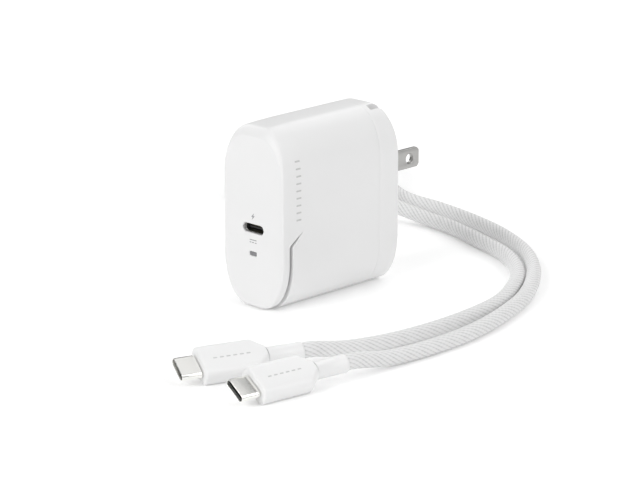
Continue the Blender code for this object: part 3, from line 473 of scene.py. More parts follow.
def carve(bm, tools):
    """The bmesh less the cutters, which are then removed."""
    base = cutter(bm)
    for tool in tools:
        boolean = base.modifiers.new("cut", "BOOLEAN")
        boolean.operation = "DIFFERENCE"
        boolean.solver = "EXACT"
        boolean.object = tool
    graph = bpy.context.evaluated_depsgraph_get()
    mesh = bpy.data.meshes.new_from_object(base.evaluated_get(graph))
    for old in [base, *tools]:
        bpy.data.objects.remove(old, do_unlink=True)
    return mesh


def turned(profile, centre, sides):
    """A round piece along X from its profile, as pairs of radius and place."""
    rings = [[(centre[0] + x, centre[1] + r * math.cos(math.tau * i / sides),
               centre[2] + r * math.sin(math.tau * i / sides)) for i in range(sides)]
             for r, x in profile]
    bm = bmesh.new()
    skin(bm, rings)
    return bm


def block(low, high, soften=0.0):
    low, high = Vector(low), Vector(high)
    bm = bmesh.new()
    bmesh.ops.create_cube(bm, size=1.0, matrix=Matrix.Translation((low + high) / 2)
                          @ Matrix.Diagonal((*(high - low), 1.0)))
    if soften:
        bmesh.ops.bevel(bm, geom=bm.edges[:], offset=soften, segments=3, profile=0.5,
                        affect="EDGES")
    return bm


def merge(*parts):
    """Several bmeshes as one."""
    whole = bmesh.new()
    for part in parts:
        mesh = bpy.data.meshes.new("part")
        part.to_mesh(mesh)
        part.free()
        whole.from_mesh(mesh)
        bpy.data.meshes.remove(mesh)
    return whole


# ---------------------------------------------------------------- housing
class Outline:
    """The housing's cross-section as columns, each with a side, a share of the corner
    and a height, so that a ring may have its own depth and inset at every column."""

    def __init__(self, corner_steps, side_steps):
        angle = np.linspace(0, QUARTER, corner_steps)
        across = np.maximum(np.cos(angle), 0) ** (2 / CORNER_POWER)
        up = np.maximum(np.sin(angle), 0) ** (2 / CORNER_POWER)
        sides = np.linspace(0, 1, side_steps + 2)[1:-1]
        low, high = CORNER_HEIGHT, HEIGHT - CORNER_HEIGHT
        flat = np.zeros(side_steps)
        columns = [(1, across, up, high), (-1, across[::-1], up[::-1], high),
                   (-1, flat + 1, flat, high + (low - high) * sides), (-1, across, -up, low),
                   (1, across[::-1], -up[::-1], low),
                   (1, flat + 1, flat, low + (high - low) * sides)]
        self.side = np.concatenate([np.full(len(x), s) for s, x, z, base in columns])
        self.across = np.concatenate([x for s, x, z, base in columns])
        self.up = np.concatenate([z for s, x, z, base in columns])
        self.base = np.concatenate([np.full(len(x), base) for s, x, z, base in columns])
        self.height = self.base + self.up * CORNER_HEIGHT

    def ring(self, y, inset):
        reach = WIDTH / 2 - FLAT_HALF - inset
        x = self.side * (FLAT_HALF + self.across * reach)
        z = self.base + self.up * (CORNER_HEIGHT - inset)
        return np.stack([x, np.broadcast_to(y, x.shape), z], axis=1)


outline = Outline(30, 52)


def step_line(z):
    """Depth of the step behind the front face at each height."""
    slant = np.clip((z - STEP_TOP) / (SLANT_TOP - STEP_TOP), 0, 1)
    return FRONT + STEP_DEPTH + slant * (SLANT_DEPTH - STEP_DEPTH)


def step_share(z):
    """How much of the step is left at each height: all below the slant, none above it."""
    slant = np.clip((z - STEP_TOP) / (SLANT_TOP - STEP_TOP), 0, 1)
    return 1 - slant ** 1.6


def edge_radius(radii):
    """An end face's edge radius at every column, growing round the top corners."""
    rise = np.clip(outline.height - (HEIGHT - CORNER_HEIGHT), 0, None) / CORNER_HEIGHT
    return radii[0] + (radii[1] - radii[0]) * rise ** 2


def relief(y, share):
    """How far the skin lies inside the full outline, easing out towards the rear."""
    fade = np.clip(1 - (y - FRONT - FRONT_EDGE_RADII[0]) / RELIEF_FADE, 0, 1)
    return RELIEF * fade ** 2.2 * share


def side_point(y, z, out=0.0):
    """A point on the housing's right side, and so far off its surface."""
    near = []
    for height in (z, z + 0.1 * MM):
        up = max(height - (HEIGHT - CORNER_HEIGHT), 0) / CORNER_HEIGHT
        across = (1 - up ** CORNER_POWER) ** (1 / CORNER_POWER)
        inset = float(relief(np.float64(y), 1.0))
        near.append(Vector((FLAT_HALF + across * (WIDTH / 2 - FLAT_HALF - inset), y, height)))
    rise = (near[1] - near[0]).normalized()
    return near[0] + out * Vector((rise.z, 0, -rise.x))


def front_cover():
    """Everything in front of the step: the face with its openings, and the band round it."""
    z = outline.height
    share = step_share(z)
    edge = step_line(z) - HAIRLINE / 2
    radius = edge_radius(FRONT_EDGE_RADII)
    rings = [outline.ring(FRONT, RELIEF + radius + 0.06 * MM)]
    for angle in np.linspace(FACE_BREAK, 0, 11):
        inward = (1 - math.cos(angle)) / (1 - math.cos(FACE_BREAK))
        y = FRONT + (1 - math.sin(angle) / math.sin(FACE_BREAK)) * radius
        rings.append(outline.ring(y, relief(y, 1.0) + inward * radius))
    inner, flare = GROOVE_FLARE
    start, stop = FRONT + radius, edge - flare * (0.05 + 0.95 * share)
    for part in np.linspace(0, 1, 12)[1:]:
        y = start + (stop - start) * part
        rings.append(outline.ring(y, relief(y, 1.0)))
    for inward, along in arc(1.0, 8)[1:]:
        y = edge - along * flare * (0.05 + 0.95 * share)
        rings.append(outline.ring(y, relief(y, 1.0) + inward * inner * share))
    rings.append(outline.ring(edge, RELIEF + WALL))
    rings.append(outline.ring(FRONT + WALL + 0.4 * MM, RELIEF + WALL))
    rings.append(outline.ring(FRONT + WALL, RELIEF + WALL + 0.4 * MM))
    bm = bmesh.new()
    made = skin(bm, rings, (False, False))
    front_holes, back_holes = [], []
    openings = [(stadium, PORT_WIDTH, PORT_OPENING, PORT_Z, 0.22 * MM,
                 SHELL_WIDTH + 0.6 * MM, SHELL_HEIGHT + 0.6 * MM),
                (light_outline, LED_WIDTH + 0.1 * MM, LED_OPENING + 0.1 * MM, LED_Z, 0.08 * MM,
                 LED_WIDTH + 0.6 * MM, LED_OPENING + 0.6 * MM)]
    for shape, width, height, z, soft, seat_width, seat_height in openings:
        rim = soft + 0.03 * MM
        tunnel = [at_depth(shape(width + 2 * rim, height + 2 * rim), FRONT, z)]
        for inward, along in arc(soft, 5)[::-1]:
            tunnel.append(at_depth(shape(width + 2 * inward, height + 2 * inward),
                                   FRONT + along, z))
        tunnel.append(at_depth(shape(width, height), FRONT + PORT_LIP, z))
        seat = shape(seat_width, seat_height)
        tunnel.append(at_depth(seat, FRONT + PORT_LIP, z))
        tunnel.append(at_depth(seat, FRONT + WALL, z))
        hole = skin(bm, tunnel, (False, False))
        front_holes.append(hole[0])
        back_holes.append(hole[-1])
    fill_between(bm, made[0], *front_holes)
    fill_between(bm, made[-1], *back_holes)
    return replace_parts(piece("front_cover_skin", bm, white_cover, "charger"),
                       "front_cover")


def main_shell():
    """The sleeve behind the step, proud of the cover below the slant and flush above it."""
    z = outline.height
    share = step_share(z)
    edge = step_line(z) + GROOVE * share + HAIRLINE / 2
    soft = 0.2 * MM
    back = SEAM - SEAM_GAP / 2
    rings = [outline.ring(edge, RELIEF + WALL)]
    for inward, along in arc(soft, 5)[::-1]:
        y = edge + along * (0.1 + 0.9 * share)
        rings.append(outline.ring(y, relief(y, 1 - share) + inward * share))
    start = edge + soft * (0.1 + 0.9 * share)
    stop = back - 0.05 * MM
    for part in np.linspace(0, 1, 34)[1:]:
        y = start + (stop - start) * part ** 1.4
        rings.append(outline.ring(y, relief(y, 1 - share)))
    for inward, along in arc(0.05 * MM, 3)[1:]:
        rings.append(outline.ring(back - along, inward))
    rings.append(outline.ring(back, RELIEF + WALL))
    bm = bmesh.new()
    made = skin(bm, rings, (False, False))
    bridge(bm, made[-1], made[0])
    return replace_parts(piece("main_shell_skin", bm, white_shell, "charger"),
                       "main_shell")


def blade_openings():
    """Cutters for the pockets that the blades' roots turn in, and for their slots."""
    tools = []
    for x in (-BLADE_X, BLADE_X):
        ends = [(POCKET_RADIUS, POCKET_WIDTH / 2), (POCKET_RADIUS, -POCKET_WIDTH / 2)]
        tools.append(cutter(turned(ends, (x, PIVOT_Y, PIVOT_Z), 64)))
        tools.append(cutter(block((x - SLOT_WIDTH / 2, REAR - SLOT_DEPTH, PIVOT_Z + 1 * MM),
                                  (x + SLOT_WIDTH / 2, REAR + 2 * MM, HEIGHT + 2 * MM))))
    return tools


def rear_cap():
    """Cap with the rounded rear edge, the two pockets and the slots over its top edge."""
    front = SEAM + SEAM_GAP / 2
    soft = 0.05 * MM
    rings = [outline.ring(REAR - WALL, WALL), outline.ring(front, WALL)]
    for inward, along in arc(soft, 4)[::-1]:
        rings.append(outline.ring(front + along, inward))
    radius = edge_radius(REAR_EDGE_RADII)
    start = front + soft
    for part in np.linspace(0, 1, 5)[1:-1]:
        rings.append(outline.ring(start + (REAR - radius - start) * part, 0.0))
    for inward, along in arc(1.0, 12):
        rings.append(outline.ring(REAR - along * radius, inward * radius))
    rings.append(outline.ring(REAR, radius + 0.06 * MM))
    bm = bmesh.new()
    skin(bm, rings)
    mesh = carve(bm, blade_openings())
    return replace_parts(piece("rear_cap_skin", mesh, white_shell, "charger", 30),
                       "rear_cap")


def side_ribs():
    """A row of plain raised ribs up the right side, just behind the front band, tinted grey as
    painted shade.
    """
    parts = []
    for i in range(RIBS):
        centre_z = RIB_FOOT + RIB_PITCH * i
        rings = []
        for inward, lift in ((0.0, -0.05), (0.0, 0.05), (0.05, 0.1), (0.12, 0.12)):
            shape = stadium(RIB_WIDTH - 2 * inward * MM, RIB_HEIGHT - 2 * inward * MM, 6)
            rings.append([side_point(RIB_Y + a, centre_z + b, lift * MM) for a, b in shape])
        bm = bmesh.new()
        skin(bm, rings)
        parts.append(bm)
    return piece("side_ribs", merge(*parts), emboss_painted_shade, "charger")


# ---------------------------------------------------------------- blades
def round_corner(before, corner, after, radius, steps=6):
    """Points that round one corner of an outline."""
    corner = Vector(corner)
    first, second = (Vector(before) - corner).normalized(), (Vector(after) - corner).normalized()
    half = first.angle(second) / 2
    reach = radius / math.tan(half)
    centre = corner + (first + second).normalized() * radius / math.sin(half)
    start, stop = corner + first * reach - centre, corner + second * reach - centre
    points = []
    for i in range(steps + 1):
        spoke = start.lerp(stop, i / steps).normalized() * radius
        points.append(tuple(centre + spoke))
    return points


def rounded_outline(points, radii):
    made = []
    for i, (point, radius) in enumerate(zip(points, radii)):
        if radius:
            made += round_corner(points[i - 1], point, points[(i + 1) % len(points)], radius)
        else:
            made.append(point)
    return made


def blade(word, side):
    """Flat blade with a coined edge, a round hole and the lug that stops it."""
    half, tip = BLADE_WIDTH / 2, PIVOT_INSET + BLADE_LENGTH
    chamfer = 0.9 * MM
    points = [(-0.9 * MM, -2.4 * MM), (0.1 * MM, -half), (tip - chamfer, -half),
              (tip, chamfer - half), (tip, half - chamfer), (tip - chamfer, half),
              (2.3 * MM, half), (0.5 * MM, half - 0.2 * MM), (-0.9 * MM, 2.4 * MM)]
    radii = [0.5 * MM, 0.5 * MM, 0.5 * MM, 0.5 * MM, 0.5 * MM, 0.5 * MM, 0, 0, 0.5 * MM]
    profile = [(y + PIVOT_Y, z + PIVOT_Z) for y, z in rounded_outline(points, radii)]
    hole_y = PIVOT_Y + PIVOT_INSET + 11.6 * MM
    hole = [(hole_y + 1.6 * MM * math.cos(math.tau * i / 48),
             PIVOT_Z + 1.6 * MM * math.sin(math.tau * i / 48)) for i in range(48)]
    x = side * BLADE_X
    flat = flat_plate([profile, hole], x - BLADE_THICKNESS / 2, x + BLADE_THICKNESS / 2, "X",
                      0.16 * MM)
    lug = block((x - LUG_WIDTH / 2, PIVOT_Y + 0.5 * MM, PIVOT_Z + half - 0.1 * MM),
                (x + LUG_WIDTH / 2, PIVOT_Y + 2.3 * MM, PIVOT_Z + 4.7 * MM), 0.25 * MM)
    made = piece("blade_%s_formed" % word, merge(flat, lug), blade_metal, "blades")
    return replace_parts(made, "blade_" + word)


def blade_hub():
    """Moulded shaft with a drum at each blade, cut away where the blades sit in it."""
    centre, half, end = BLADE_X, DRUM_WIDTH / 2, HUB_LENGTH / 2
    soft = 0.25 * MM
    profile = [(HUB_RADIUS - soft, end), (HUB_RADIUS, end - soft), (HUB_RADIUS, centre + half)]
    profile += [(DRUM_RADIUS - inward, centre + half - along)
                for inward, along in arc(soft, 4)[::-1]]
    profile += [(DRUM_RADIUS - inward, centre - half + along) for inward, along in arc(soft, 4)]
    profile += [(HUB_RADIUS, centre - half)]
    profile += [(r, -x) for r, x in reversed(profile)]
    bm = turned(profile, (0, PIVOT_Y, PIVOT_Z), 56)
    tools = []
    for side in (-1, 1):
        x = side * centre
        room = BLADE_THICKNESS / 2 + 0.06 * MM
        tools.append(cutter(block((x - room, PIVOT_Y - 1.2 * MM, PIVOT_Z - 6 * MM),
                                  (x + room, PIVOT_Y + 6 * MM, PIVOT_Z + 6 * MM))))
        wide = LUG_WIDTH / 2 + 0.1 * MM
        tools.append(cutter(block((x - wide, PIVOT_Y + 0.3 * MM, PIVOT_Z + 2.9 * MM),
                                  (x + wide, PIVOT_Y + 6 * MM, PIVOT_Z + 6 * MM))))
    made = piece("blade_hub_moulded", carve(bm, tools), white_inner, "blades", 30)
    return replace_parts(made, "blade_hub")


# ---------------------------------------------------------------- port and light
def metal_shell(width, height, wall, soft, mouth, inner_end, end, z=0.0):
    """A stadium-shaped shell, from its inner end, round the rim of its mouth, to its end."""
    rings = [at_depth(stadium(width - 2 * wall, height - 2 * wall), inner_end, z)]
    rim = [(wall - inward, along) for inward, along in arc(soft, 4)] + arc(soft, 4)[::-1]
    for inward, along in rim:
        rings.append(at_depth(stadium(width - 2 * inward, height - 2 * inward), mouth + along, z))
    rings.append(at_depth(stadium(width, height), end, z))
    bm = bmesh.new()
    skin(bm, rings)
    return bm


def port():
    front = FRONT + PORT_LIP + 0.3 * MM
    back = front + SHELL_DEPTH
    bm = metal_shell(SHELL_WIDTH, SHELL_HEIGHT, SHELL_WALL, 0.1 * MM, front, back - 0.4 * MM,
                     back, PORT_Z)
    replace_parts(piece("port_shell", bm, port_metal, "charger"), "usb_c_shell")

    half, base = TONGUE_THICKNESS / 2, 0.95 * MM
    tip, root, end = front + 0.7 * MM, back - 1.9 * MM, back - 0.7 * MM
    points = [(tip, -half), (root, -half), (root, -base), (end, -base), (end, base), (root, base),
              (root, half), (tip, half)]
    radii = [0.2 * MM, 0.15 * MM, 0.1 * MM, 0, 0, 0.1 * MM, 0.15 * MM, 0.2 * MM]
    profile = [(y, z + PORT_Z) for y, z in rounded_outline(points, radii)]
    bm = flat_plate([profile], -TONGUE_WIDTH / 2, TONGUE_WIDTH / 2, "X", 0.1 * MM)
    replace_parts(piece("port_tongue", bm, port_black, "charger"), "usb_c_tongue")

    pads = []
    for row in (-1, 1):
        for i in range(12):
            x = (i - 5.5) * 0.5 * MM
            z = PORT_Z + row * half
            pads.append(block((x - 0.13 * MM, tip + 0.5 * MM, z - 0.05 * MM),
                              (x + 0.13 * MM, tip + 3.6 * MM, z + 0.05 * MM), 0.02 * MM))
    piece("port_contacts", merge(*pads), contact_gold, "charger")


def light_window():
    small, large = (LED_WIDTH, LED_OPENING), (LED_WIDTH + 1.8 * MM, LED_OPENING + 1.8 * MM)
    flange = FRONT + WALL + 0.3 * MM
    face = FRONT + 0.08 * MM
    rings = []
    for inward, along in arc(0.15 * MM, 5)[::-1]:
        rings.append(at_depth(light_outline(small[0] - 2 * inward, small[1] - 2 * inward),
                              face + along, LED_Z))
    rings += [at_depth(light_outline(*small), flange, LED_Z),
              at_depth(light_outline(*large), flange, LED_Z),
              at_depth(light_outline(*large), flange + 0.8 * MM, LED_Z)]
    bm = bmesh.new()
    skin(bm, rings)
    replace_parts(piece("light_lens", bm, light_lens, "charger"), "led_window")


def port_marks():
    """A charging bolt above the port, and the direct-current sign below it."""
    bolt = [(0.5, 1.15), (-0.75, -0.15), (-0.12, -0.15), (-0.5, -1.15), (0.75, 0.2), (0.12, 0.2)]
    bolt = [(x * MM, (z + 29.4) * MM) for x, z in bolt]

    def bar(x, z, width):
        left, right = (x - width / 2) * MM, (x + width / 2) * MM
        low, high = (z - 0.13) * MM, (z + 0.13) * MM
        return [(left, low), (right, low), (right, high), (left, high)]

    shapes = [bolt, bar(0, 21.9, 3.0)] + [bar(x, 21.1, 0.76) for x in (-1.12, 0.0, 1.12)]
    parts = [flat_plate([shape], FRONT - 0.015 * MM, FRONT + 0.05 * MM, "Y") for shape in shapes]
    piece("port_marks", merge(*parts), mark_grey, "charger")


# ---------------------------------------------------------------- plugs and cable
def plug_frame(word):
    (x, y), heading = PLUGS[word]
    return (Matrix.Translation((x * MM, y * MM, PLUG_Z))
            @ Matrix.Rotation(heading - QUARTER, 4, "Z") @ Matrix.Rotation(PLUG_ROLL, 4, "Y"))


def settle(bm, place):
    bmesh.ops.transform(bm, matrix=place, verts=bm.verts)
    return bm


def plug(word):
    place = plug_frame(word)
    width, height, length = PLUG_SHELL
    end = length - 0.3 * MM
    bm = metal_shell(width, height, 0.3 * MM, 0.14 * MM, 0.0, end - 0.5 * MM, end)
    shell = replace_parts(piece("plug_%s_sleeve_metal" % word, settle(bm, place), plug_metal,
                              "cable"), "plug_%s_shell" % word)

    liner = []
    for y, shrink in ((1.1, 1.5), (1.2, 1.3), (5.45, 1.3)):
        liner.append(at_depth(stadium(width - shrink * MM, height - shrink * MM), y * MM))
    bm = bmesh.new()
    skin(bm, liner)
    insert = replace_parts(piece("plug_%s_core" % word, settle(bm, place), port_black, "cable"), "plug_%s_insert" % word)

    wide, tall, long = PLUG_BODY
    start = length
    stop = start + long
    rings = []
    for inward, along in arc(0.7 * MM, 7)[::-1]:
        rings.append((start + along, wide - 2 * inward, tall - 2 * inward, 2.7 * MM))
    for part in np.linspace(0, 1, 8)[1:]:
        rings.append((start + 0.7 * MM + part * (long - 4.9 * MM), wide, tall, 2.7 * MM))
    shoulder = [(3.75, 0.03), (3.5, 0.22), (3.2, 0.62), (2.0, 2.72), (0.8, 4.82), (0.55, 5.2),
                (0.3, 5.46), (0.1, 5.62), (0.0, 5.75)]
    for back, less in shoulder:
        low = max(0.0, 0.35 - back) ** 2 * 4
        rings.append((stop - back * MM, wide - less * MM, tall - low * MM, (2.7 + less / 40) * MM))
    bm = bmesh.new()
    skin(bm, [at_depth(rounded_section(w, h, min(r, h / 2, w / 2)), y) for y, w, h, r in rings])
    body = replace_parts(piece("plug_%s_grip" % word, settle(bm, place), plug_white, "cable",
                             45), "plug_%s_body" % word)

    sides = 48
    profile = [(0.35, 0.0), (0.0, 0.05), (0.0, 0.9), (0.08, 1.05), (0.08, 9.9), (0.0, 10.2),
               (0.0, 11.2), (0.12, 11.4), (0.35, 11.5), (0.38, 11.0)]
    rings = []
    for inward, y in profile:
        r = SLEEVE_RADIUS - inward * MM
        rings.append([(r * math.cos(math.tau * i / sides), SLEEVE_START + y * MM,
                       r * math.sin(math.tau * i / sides)) for i in range(sides)])
    bm = bmesh.new()
    skin(bm, rings)
    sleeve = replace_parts(piece("plug_%s_relief" % word, settle(bm, place), plug_white, "cable"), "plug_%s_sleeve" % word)

    # The dashes take the grey tint that paints their shade.
    dashes = []
    for i in range(DASHES):
        centre = start + DASH_START + DASH_PITCH * i
        rings = []
        for inward, lift in ((0.0, -0.05), (0.0, 0.02), (0.05, 0.04)):
            shape = stadium(1.3 * MM - 2 * inward * MM, 0.45 * MM - 2 * inward * MM, 5)
            rings.append([(b + 0.3 * MM, centre + a, tall / 2 + lift * MM) for a, b in shape])
        bm = bmesh.new()
        skin(bm, rings)
        dashes.append(bm)
    mark = piece("plug_%s_dashes" % word, settle(merge(*dashes), place), emboss_painted_shade, "cable")
    return [shell, insert, body, sleeve, mark]


def plug_exit(word, along):
    """A point on the plug's axis, so far from its mouth."""
    return plug_frame(word) @ Vector((0, along, 0))


def coil_height(angle):
    """Height of the cable's middle at an angle along the coil."""
    height = COIL_LEVELS[0]
    for low, high, start in zip(COIL_LEVELS, COIL_LEVELS[1:], (COIL_CLIMB, COIL_CLIMB + 360)):
        part = min(max((angle - start) / COIL_CLIMB_SPAN, 0), 1)
        height += (high - low) * part * part * (3 - 2 * part)
    return height


def cable_route():
    """Knots of the whole cable, from plug a through the coil to plug b."""
    knots = [plug_exit("a", SLEEVE_END - 0.6 * MM), plug_exit("a", SLEEVE_END + 4 * MM)]
    knots += [Vector(point) * MM for point in RUN_A]
    for i in range(COIL_KNOTS + 1):
        angle = COIL_START + (COIL_END - COIL_START) * i / COIL_KNOTS
        turn = math.radians(angle)
        knots.append(Vector((COIL_CENTRE.x + COIL_RADIUS * math.cos(turn),
                             COIL_CENTRE.y + COIL_RADIUS * math.sin(turn),
                             coil_height(angle))) * MM)
    knots += [Vector(point) * MM for point in reversed(RUN_B)]
    knots += [plug_exit("b", SLEEVE_END + 4 * MM), plug_exit("b", SLEEVE_END - 0.6 * MM)]
    return knots


def even_points(knots, spacing):
    """Evenly spaced points on a smooth curve through the knots."""
    knots = [2 * knots[0] - knots[1]] + knots + [2 * knots[-1] - knots[-2]]
    fine = []
    for a, b, c, d in zip(knots, knots[1:], knots[2:], knots[3:]):
        for step in range(CURVE_STEPS):
            t = step / CURVE_STEPS
            fine.append(0.5 * (2 * b + (c - a) * t + (2 * a - 5 * b + 4 * c - d) * t ** 2
                               + (3 * b - a - 3 * c + d) * t ** 3))
    fine.append(knots[-2])
    fine = np.array([tuple(point) for point in fine])
    lengths = np.concatenate([[0], np.cumsum(np.linalg.norm(np.diff(fine, axis=0), axis=1))])
    count = round(lengths[-1] / spacing)
    places = np.linspace(0, lengths[-1], count + 1)
    points = np.stack([np.interp(places, lengths, fine[:, axis]) for axis in range(3)], axis=1)
    points[:, 2] = np.maximum(points[:, 2], CABLE_RADIUS + 0.05 * MM)
    return points, places


def weave(theta, along):
    """Height of the braid, from 0 between strands to 1 on a crown, and the strand's own
    coordinate. One direction stands proud, notched where the other dives under it."""
    a = STRANDS * theta / math.tau + along / STRAND_PITCH
    b = STRANDS * theta / math.tau - along / STRAND_PITCH
    across = a - np.floor(a)
    crown = 1 - np.abs(2 * across - 1) ** 2.0
    notch = 0.5 + 0.5 * np.cos(math.tau * b)
    return crown * (1 - 0.3 * notch), a


def cable():
    """The braided cable as one tube, with its strands standing in the mesh."""
    around = 66
    points, places = even_points(cable_route(), (0.36) * MM)
    ahead = np.gradient(points, axis=0)
    ahead /= np.linalg.norm(ahead, axis=1)[:, None]
    side = np.cross(ahead, (0, 0, 1.0))
    side /= np.linalg.norm(side, axis=1)[:, None]
    upward = np.cross(side, ahead)
    theta = np.arange(around) * math.tau / around
    grid_theta, grid_along = np.meshgrid(theta, places)
    height, strand = weave(grid_theta, grid_along)
    radius = CABLE_RADIUS - 0.15 * MM + 0.2 * MM * height
    verts = (points[:, None, :]
             + radius[..., None] * (np.cos(grid_theta)[..., None] * side[:, None, :]
                                    + np.sin(grid_theta)[..., None] * upward[:, None, :]))
    verts[..., 2] = np.maximum(verts[..., 2], 0.02 * MM)
    rows = len(points)
    index = np.arange(rows * around).reshape(rows, around)
    beside = np.roll(index, -1, axis=1)
    quads = np.stack([index[:-1], index[1:], beside[1:], beside[:-1]], axis=-1).reshape(-1, 4)
    mesh = bpy.data.meshes.new("cable")
    mesh.from_pydata(verts.reshape(-1, 3).tolist(), [],
                     quads.tolist() + [index[0].tolist(), index[-1][::-1].tolist()])
    mesh.update()
    # The braid's height goes to the shader, which paints shade where it is low.
    kept = mesh.attributes.new("relief", "FLOAT", "POINT")
    kept.data.foreach_set("value", height.ravel().astype(np.float32))
    kept = mesh.attributes.new("strand", "FLOAT_VECTOR", "POINT")
    yarn = np.stack([strand, grid_along / STRAND_PITCH, strand * 0], axis=-1)
    kept.data.foreach_set("vector", yarn.ravel().astype(np.float32))
    tube = piece("cable_braid", mesh, braid_white, "cable", 0)
    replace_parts(tube, "cable_run_a", "cable_run_b", "cable_coil")
    return tube, points[:: max(1, rows // 400)]


def cable_tie():
    """A soft strap over the coil's three levels, ribbed across its width."""
    inner = (COIL_RADIUS - 2.6 - 1.0) * MM
    outer = (COIL_RADIUS + 2.6 + 0.7) * MM
    top = COIL_HEIGHT + 0.7 * MM
    corner = 2.0 * MM
    low = 0.3 * MM
    path = [(inner, low)]
    path += [(inner, z) for z in np.linspace(low, top - corner, 10)[1:]]
    path += [(inner + corner * (1 - math.cos(a)), top - corner + corner * math.sin(a))
             for a in np.linspace(0, QUARTER, 8)[1:]]
    path += [(outer - corner + corner * math.sin(a), top - corner + corner * math.cos(a))
             for a in np.linspace(0, QUARTER, 8)]
    path += [(outer, z) for z in np.linspace(top - corner, low, 10)[1:]]
    path = [Vector(point) for point in path]
    rings = []
    for i, point in enumerate(path):
        ahead = (path[min(i + 1, len(path) - 1)] - path[max(i - 1, 0)]).normalized()
        outward = Vector((-ahead.y, ahead.x))
        ring = []
        for across, out in rounded_section(8.0 * MM, 0.8 * MM, 0.38 * MM, 2.0, 5):
            rib = 0.05 * MM * math.cos(across / (0.8 * MM) * math.tau) if out > 0 else 0
            spot = point + outward * (out + rib)
            ring.append((spot.x, across, spot.y))
        rings.append(ring)
    bm = bmesh.new()
    skin(bm, rings)
    place = Matrix.Translation((COIL_CENTRE.x * MM, COIL_CENTRE.y * MM, 0)) \
        @ Matrix.Rotation(TIE_ANGLE, 4, "Z")
    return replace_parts(piece("cable_strap", settle(bm, place), tie_white, "cable"),
                       "cable_tie")


# ---------------------------------------------------------------- carried-over nodes
def dress_nodes():
    """Materials for the pieces inside the charger, which stay as the solids have them."""
    ferrite = sintered("ferrite", (0.035, 0.035, 0.04))
    epoxy = sintered("epoxy_package", (0.018, 0.018, 0.02), (0.4, 0.6))
    bronze = brushed("spring_bronze", (0.72, 0.4, 0.22), along="Z")
    green = board("solder_mask", (0.015, 0.1, 0.045))
    can = brushed("capacitor_can", (0.7, 0.7, 0.72), along="X")
    sleeve = moulded("capacitor_sleeve", (0.02, 0.022, 0.032), (0.25, 0.38))
    wire = moulded("wire_cover", (0.7, 0.7, 0.66), (0.4, 0.55))
    finishes = [
        (white_inner, "prong_cradle"),
        (green, "led_board main_board usb_board"),
        (moulded("chip_white", (0.75, 0.74, 0.66), (0.3, 0.4)), "led_chip"),
        (bronze, "contact_spring_left contact_spring_right detent_spring"),
        (ferrite, "transformer_core_front transformer_core_rear choke_core"),
        (port_black, "transformer_bobbin"),
        (wound("winding_tape", (0.75, 0.55, 0.08), 0.6 * MM), "transformer_winding"),
        (wound("choke_wire", (0.72, 0.33, 0.16), 0.5 * MM, 1.0),
         "choke_winding_lower choke_winding_upper"),
        (sleeve, "bulk_capacitor_left bulk_capacitor_right aux_capacitor"),
        (can, "output_capacitor_left output_capacitor_middle output_capacitor_right"),
        (moulded("film_case", (0.78, 0.58, 0.1), (0.35, 0.5)), "x_capacitor"),
        (sintered("ceramic_disc", (0.05, 0.2, 0.48), (0.3, 0.5)), "y_capacitor"),
        (sintered("varistor_coat", (0.05, 0.1, 0.36), (0.3, 0.5)), "varistor"),
        (sintered("fuse_case", (0.3, 0.2, 0.09), (0.4, 0.6)), "fuse"),
        (epoxy, "pd_controller gan_switch sync_rectifier bridge_rectifier"),
        (brushed("spreader_aluminium", (0.72, 0.72, 0.74), along="Z"), "heat_spreader"),
        (sintered("thermal_pad", (0.36, 0.38, 0.42), (0.75, 0.9)), "thermal_pad"),
        (moulded("insulator_film", (0.72, 0.7, 0.62), (0.2, 0.3)), "insulator_sheet"),
        (wire, "ac_lead_left ac_lead_right"),
    ]
    for material, names in finishes:
        for name in names.split():
            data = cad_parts[name].data
            data.materials.clear()
            data.materials.append(material)


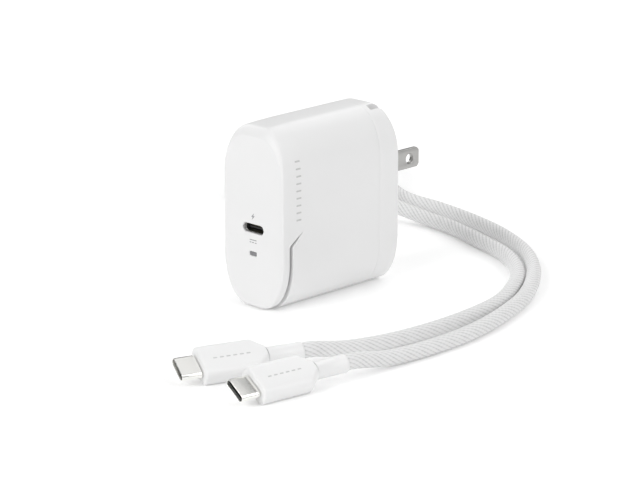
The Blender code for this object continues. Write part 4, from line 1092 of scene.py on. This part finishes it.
# ---------------------------------------------------------------- studio
def floor():
    made = Surface("floor_paper")
    made.colour(made.ramp(made.noise(9.0, 2.0), [(0.3, (0.93,) * 3), (0.7, (0.95,) * 3)]))
    made.roughness(made.spread(made.noise(400.0), 0.8, 0.9))
    made.shader.inputs["Emission Color"].default_value = (1.0, 1.0, 1.0, 1.0)
    made.shader.inputs["Emission Strength"].default_value = 0.13
    bm = bmesh.new()
    bmesh.ops.create_grid(bm, x_segments=2, y_segments=2, size=6.0)
    mesh = bpy.data.meshes.new("floor")
    bm.to_mesh(mesh)
    bm.free()
    mesh.materials.append(made.material)
    sheet = bpy.data.objects.new("floor", mesh)
    bpy.context.scene.collection.objects.link(sheet)


def lamp(name, place, target, size, power):
    data = bpy.data.lights.new(name, "AREA")
    data.shape = "RECTANGLE"
    data.size, data.size_y = size
    data.energy = power
    obj = bpy.data.objects.new(name, data)
    bpy.context.scene.collection.objects.link(obj)
    obj.location = place
    obj.rotation_mode = "QUATERNION"
    obj.rotation_quaternion = (Vector(target) - Vector(place)).to_track_quat("-Z", "Y")


def studio():
    world = bpy.data.worlds.new("studio")
    bpy.context.scene.world = world
    world.use_nodes = True
    sky = world.node_tree.nodes["Background"]
    sky.inputs["Color"].default_value = (1.0, 1.0, 1.0, 1.0)
    sky.inputs["Strength"].default_value = 0.12
    centre = (0, 0, 0.02)
    lamp("front", (0, -1.25, 0.75), centre, (1.0, 0.7), 11.6)
    lamp("top", (0.05, 0, 1.4), centre, (1.4, 1.4), 5.0)
    lamp("right", (1.2, 0.3, 0.8), centre, (1.0, 1.0), 9.6)
    lamp("back", (-0.3, 1.2, 0.9), centre, (1.2, 1.0), 7.0)
    lamp("left", (-1.2, 0.1, 0.8), centre, (1.0, 1.0), 6.0)
    view = bpy.context.scene.view_settings
    view.view_transform = "Standard"
    view.look = "None"


def camera():
    data = bpy.data.cameras.new("camera")
    data.lens, data.sensor_width = 174.19, 36.0
    obj = bpy.data.objects.new("camera", data)
    bpy.context.scene.collection.objects.link(obj)
    obj.location = (0.65656, -0.66926, 0.28828)
    obj.rotation_euler = (math.radians(73.748), 0, math.radians(44.633))
    data.clip_start, data.clip_end = 0.05, 20.0
    bpy.context.scene.camera = obj


def build():
    camera()
    studio()
    floor()
    tube, path = cable()
    tie = cable_tie()
    with_pieces = [tie]
    for word in PLUGS:
        with_pieces += plug(word)
    front_cover()
    main_shell()
    rear_cap()
    side_ribs()
    port()
    light_window()
    port_marks()
    blade("left", -1)
    blade("right", 1)
    blade_hub()
    dress_nodes()


build()
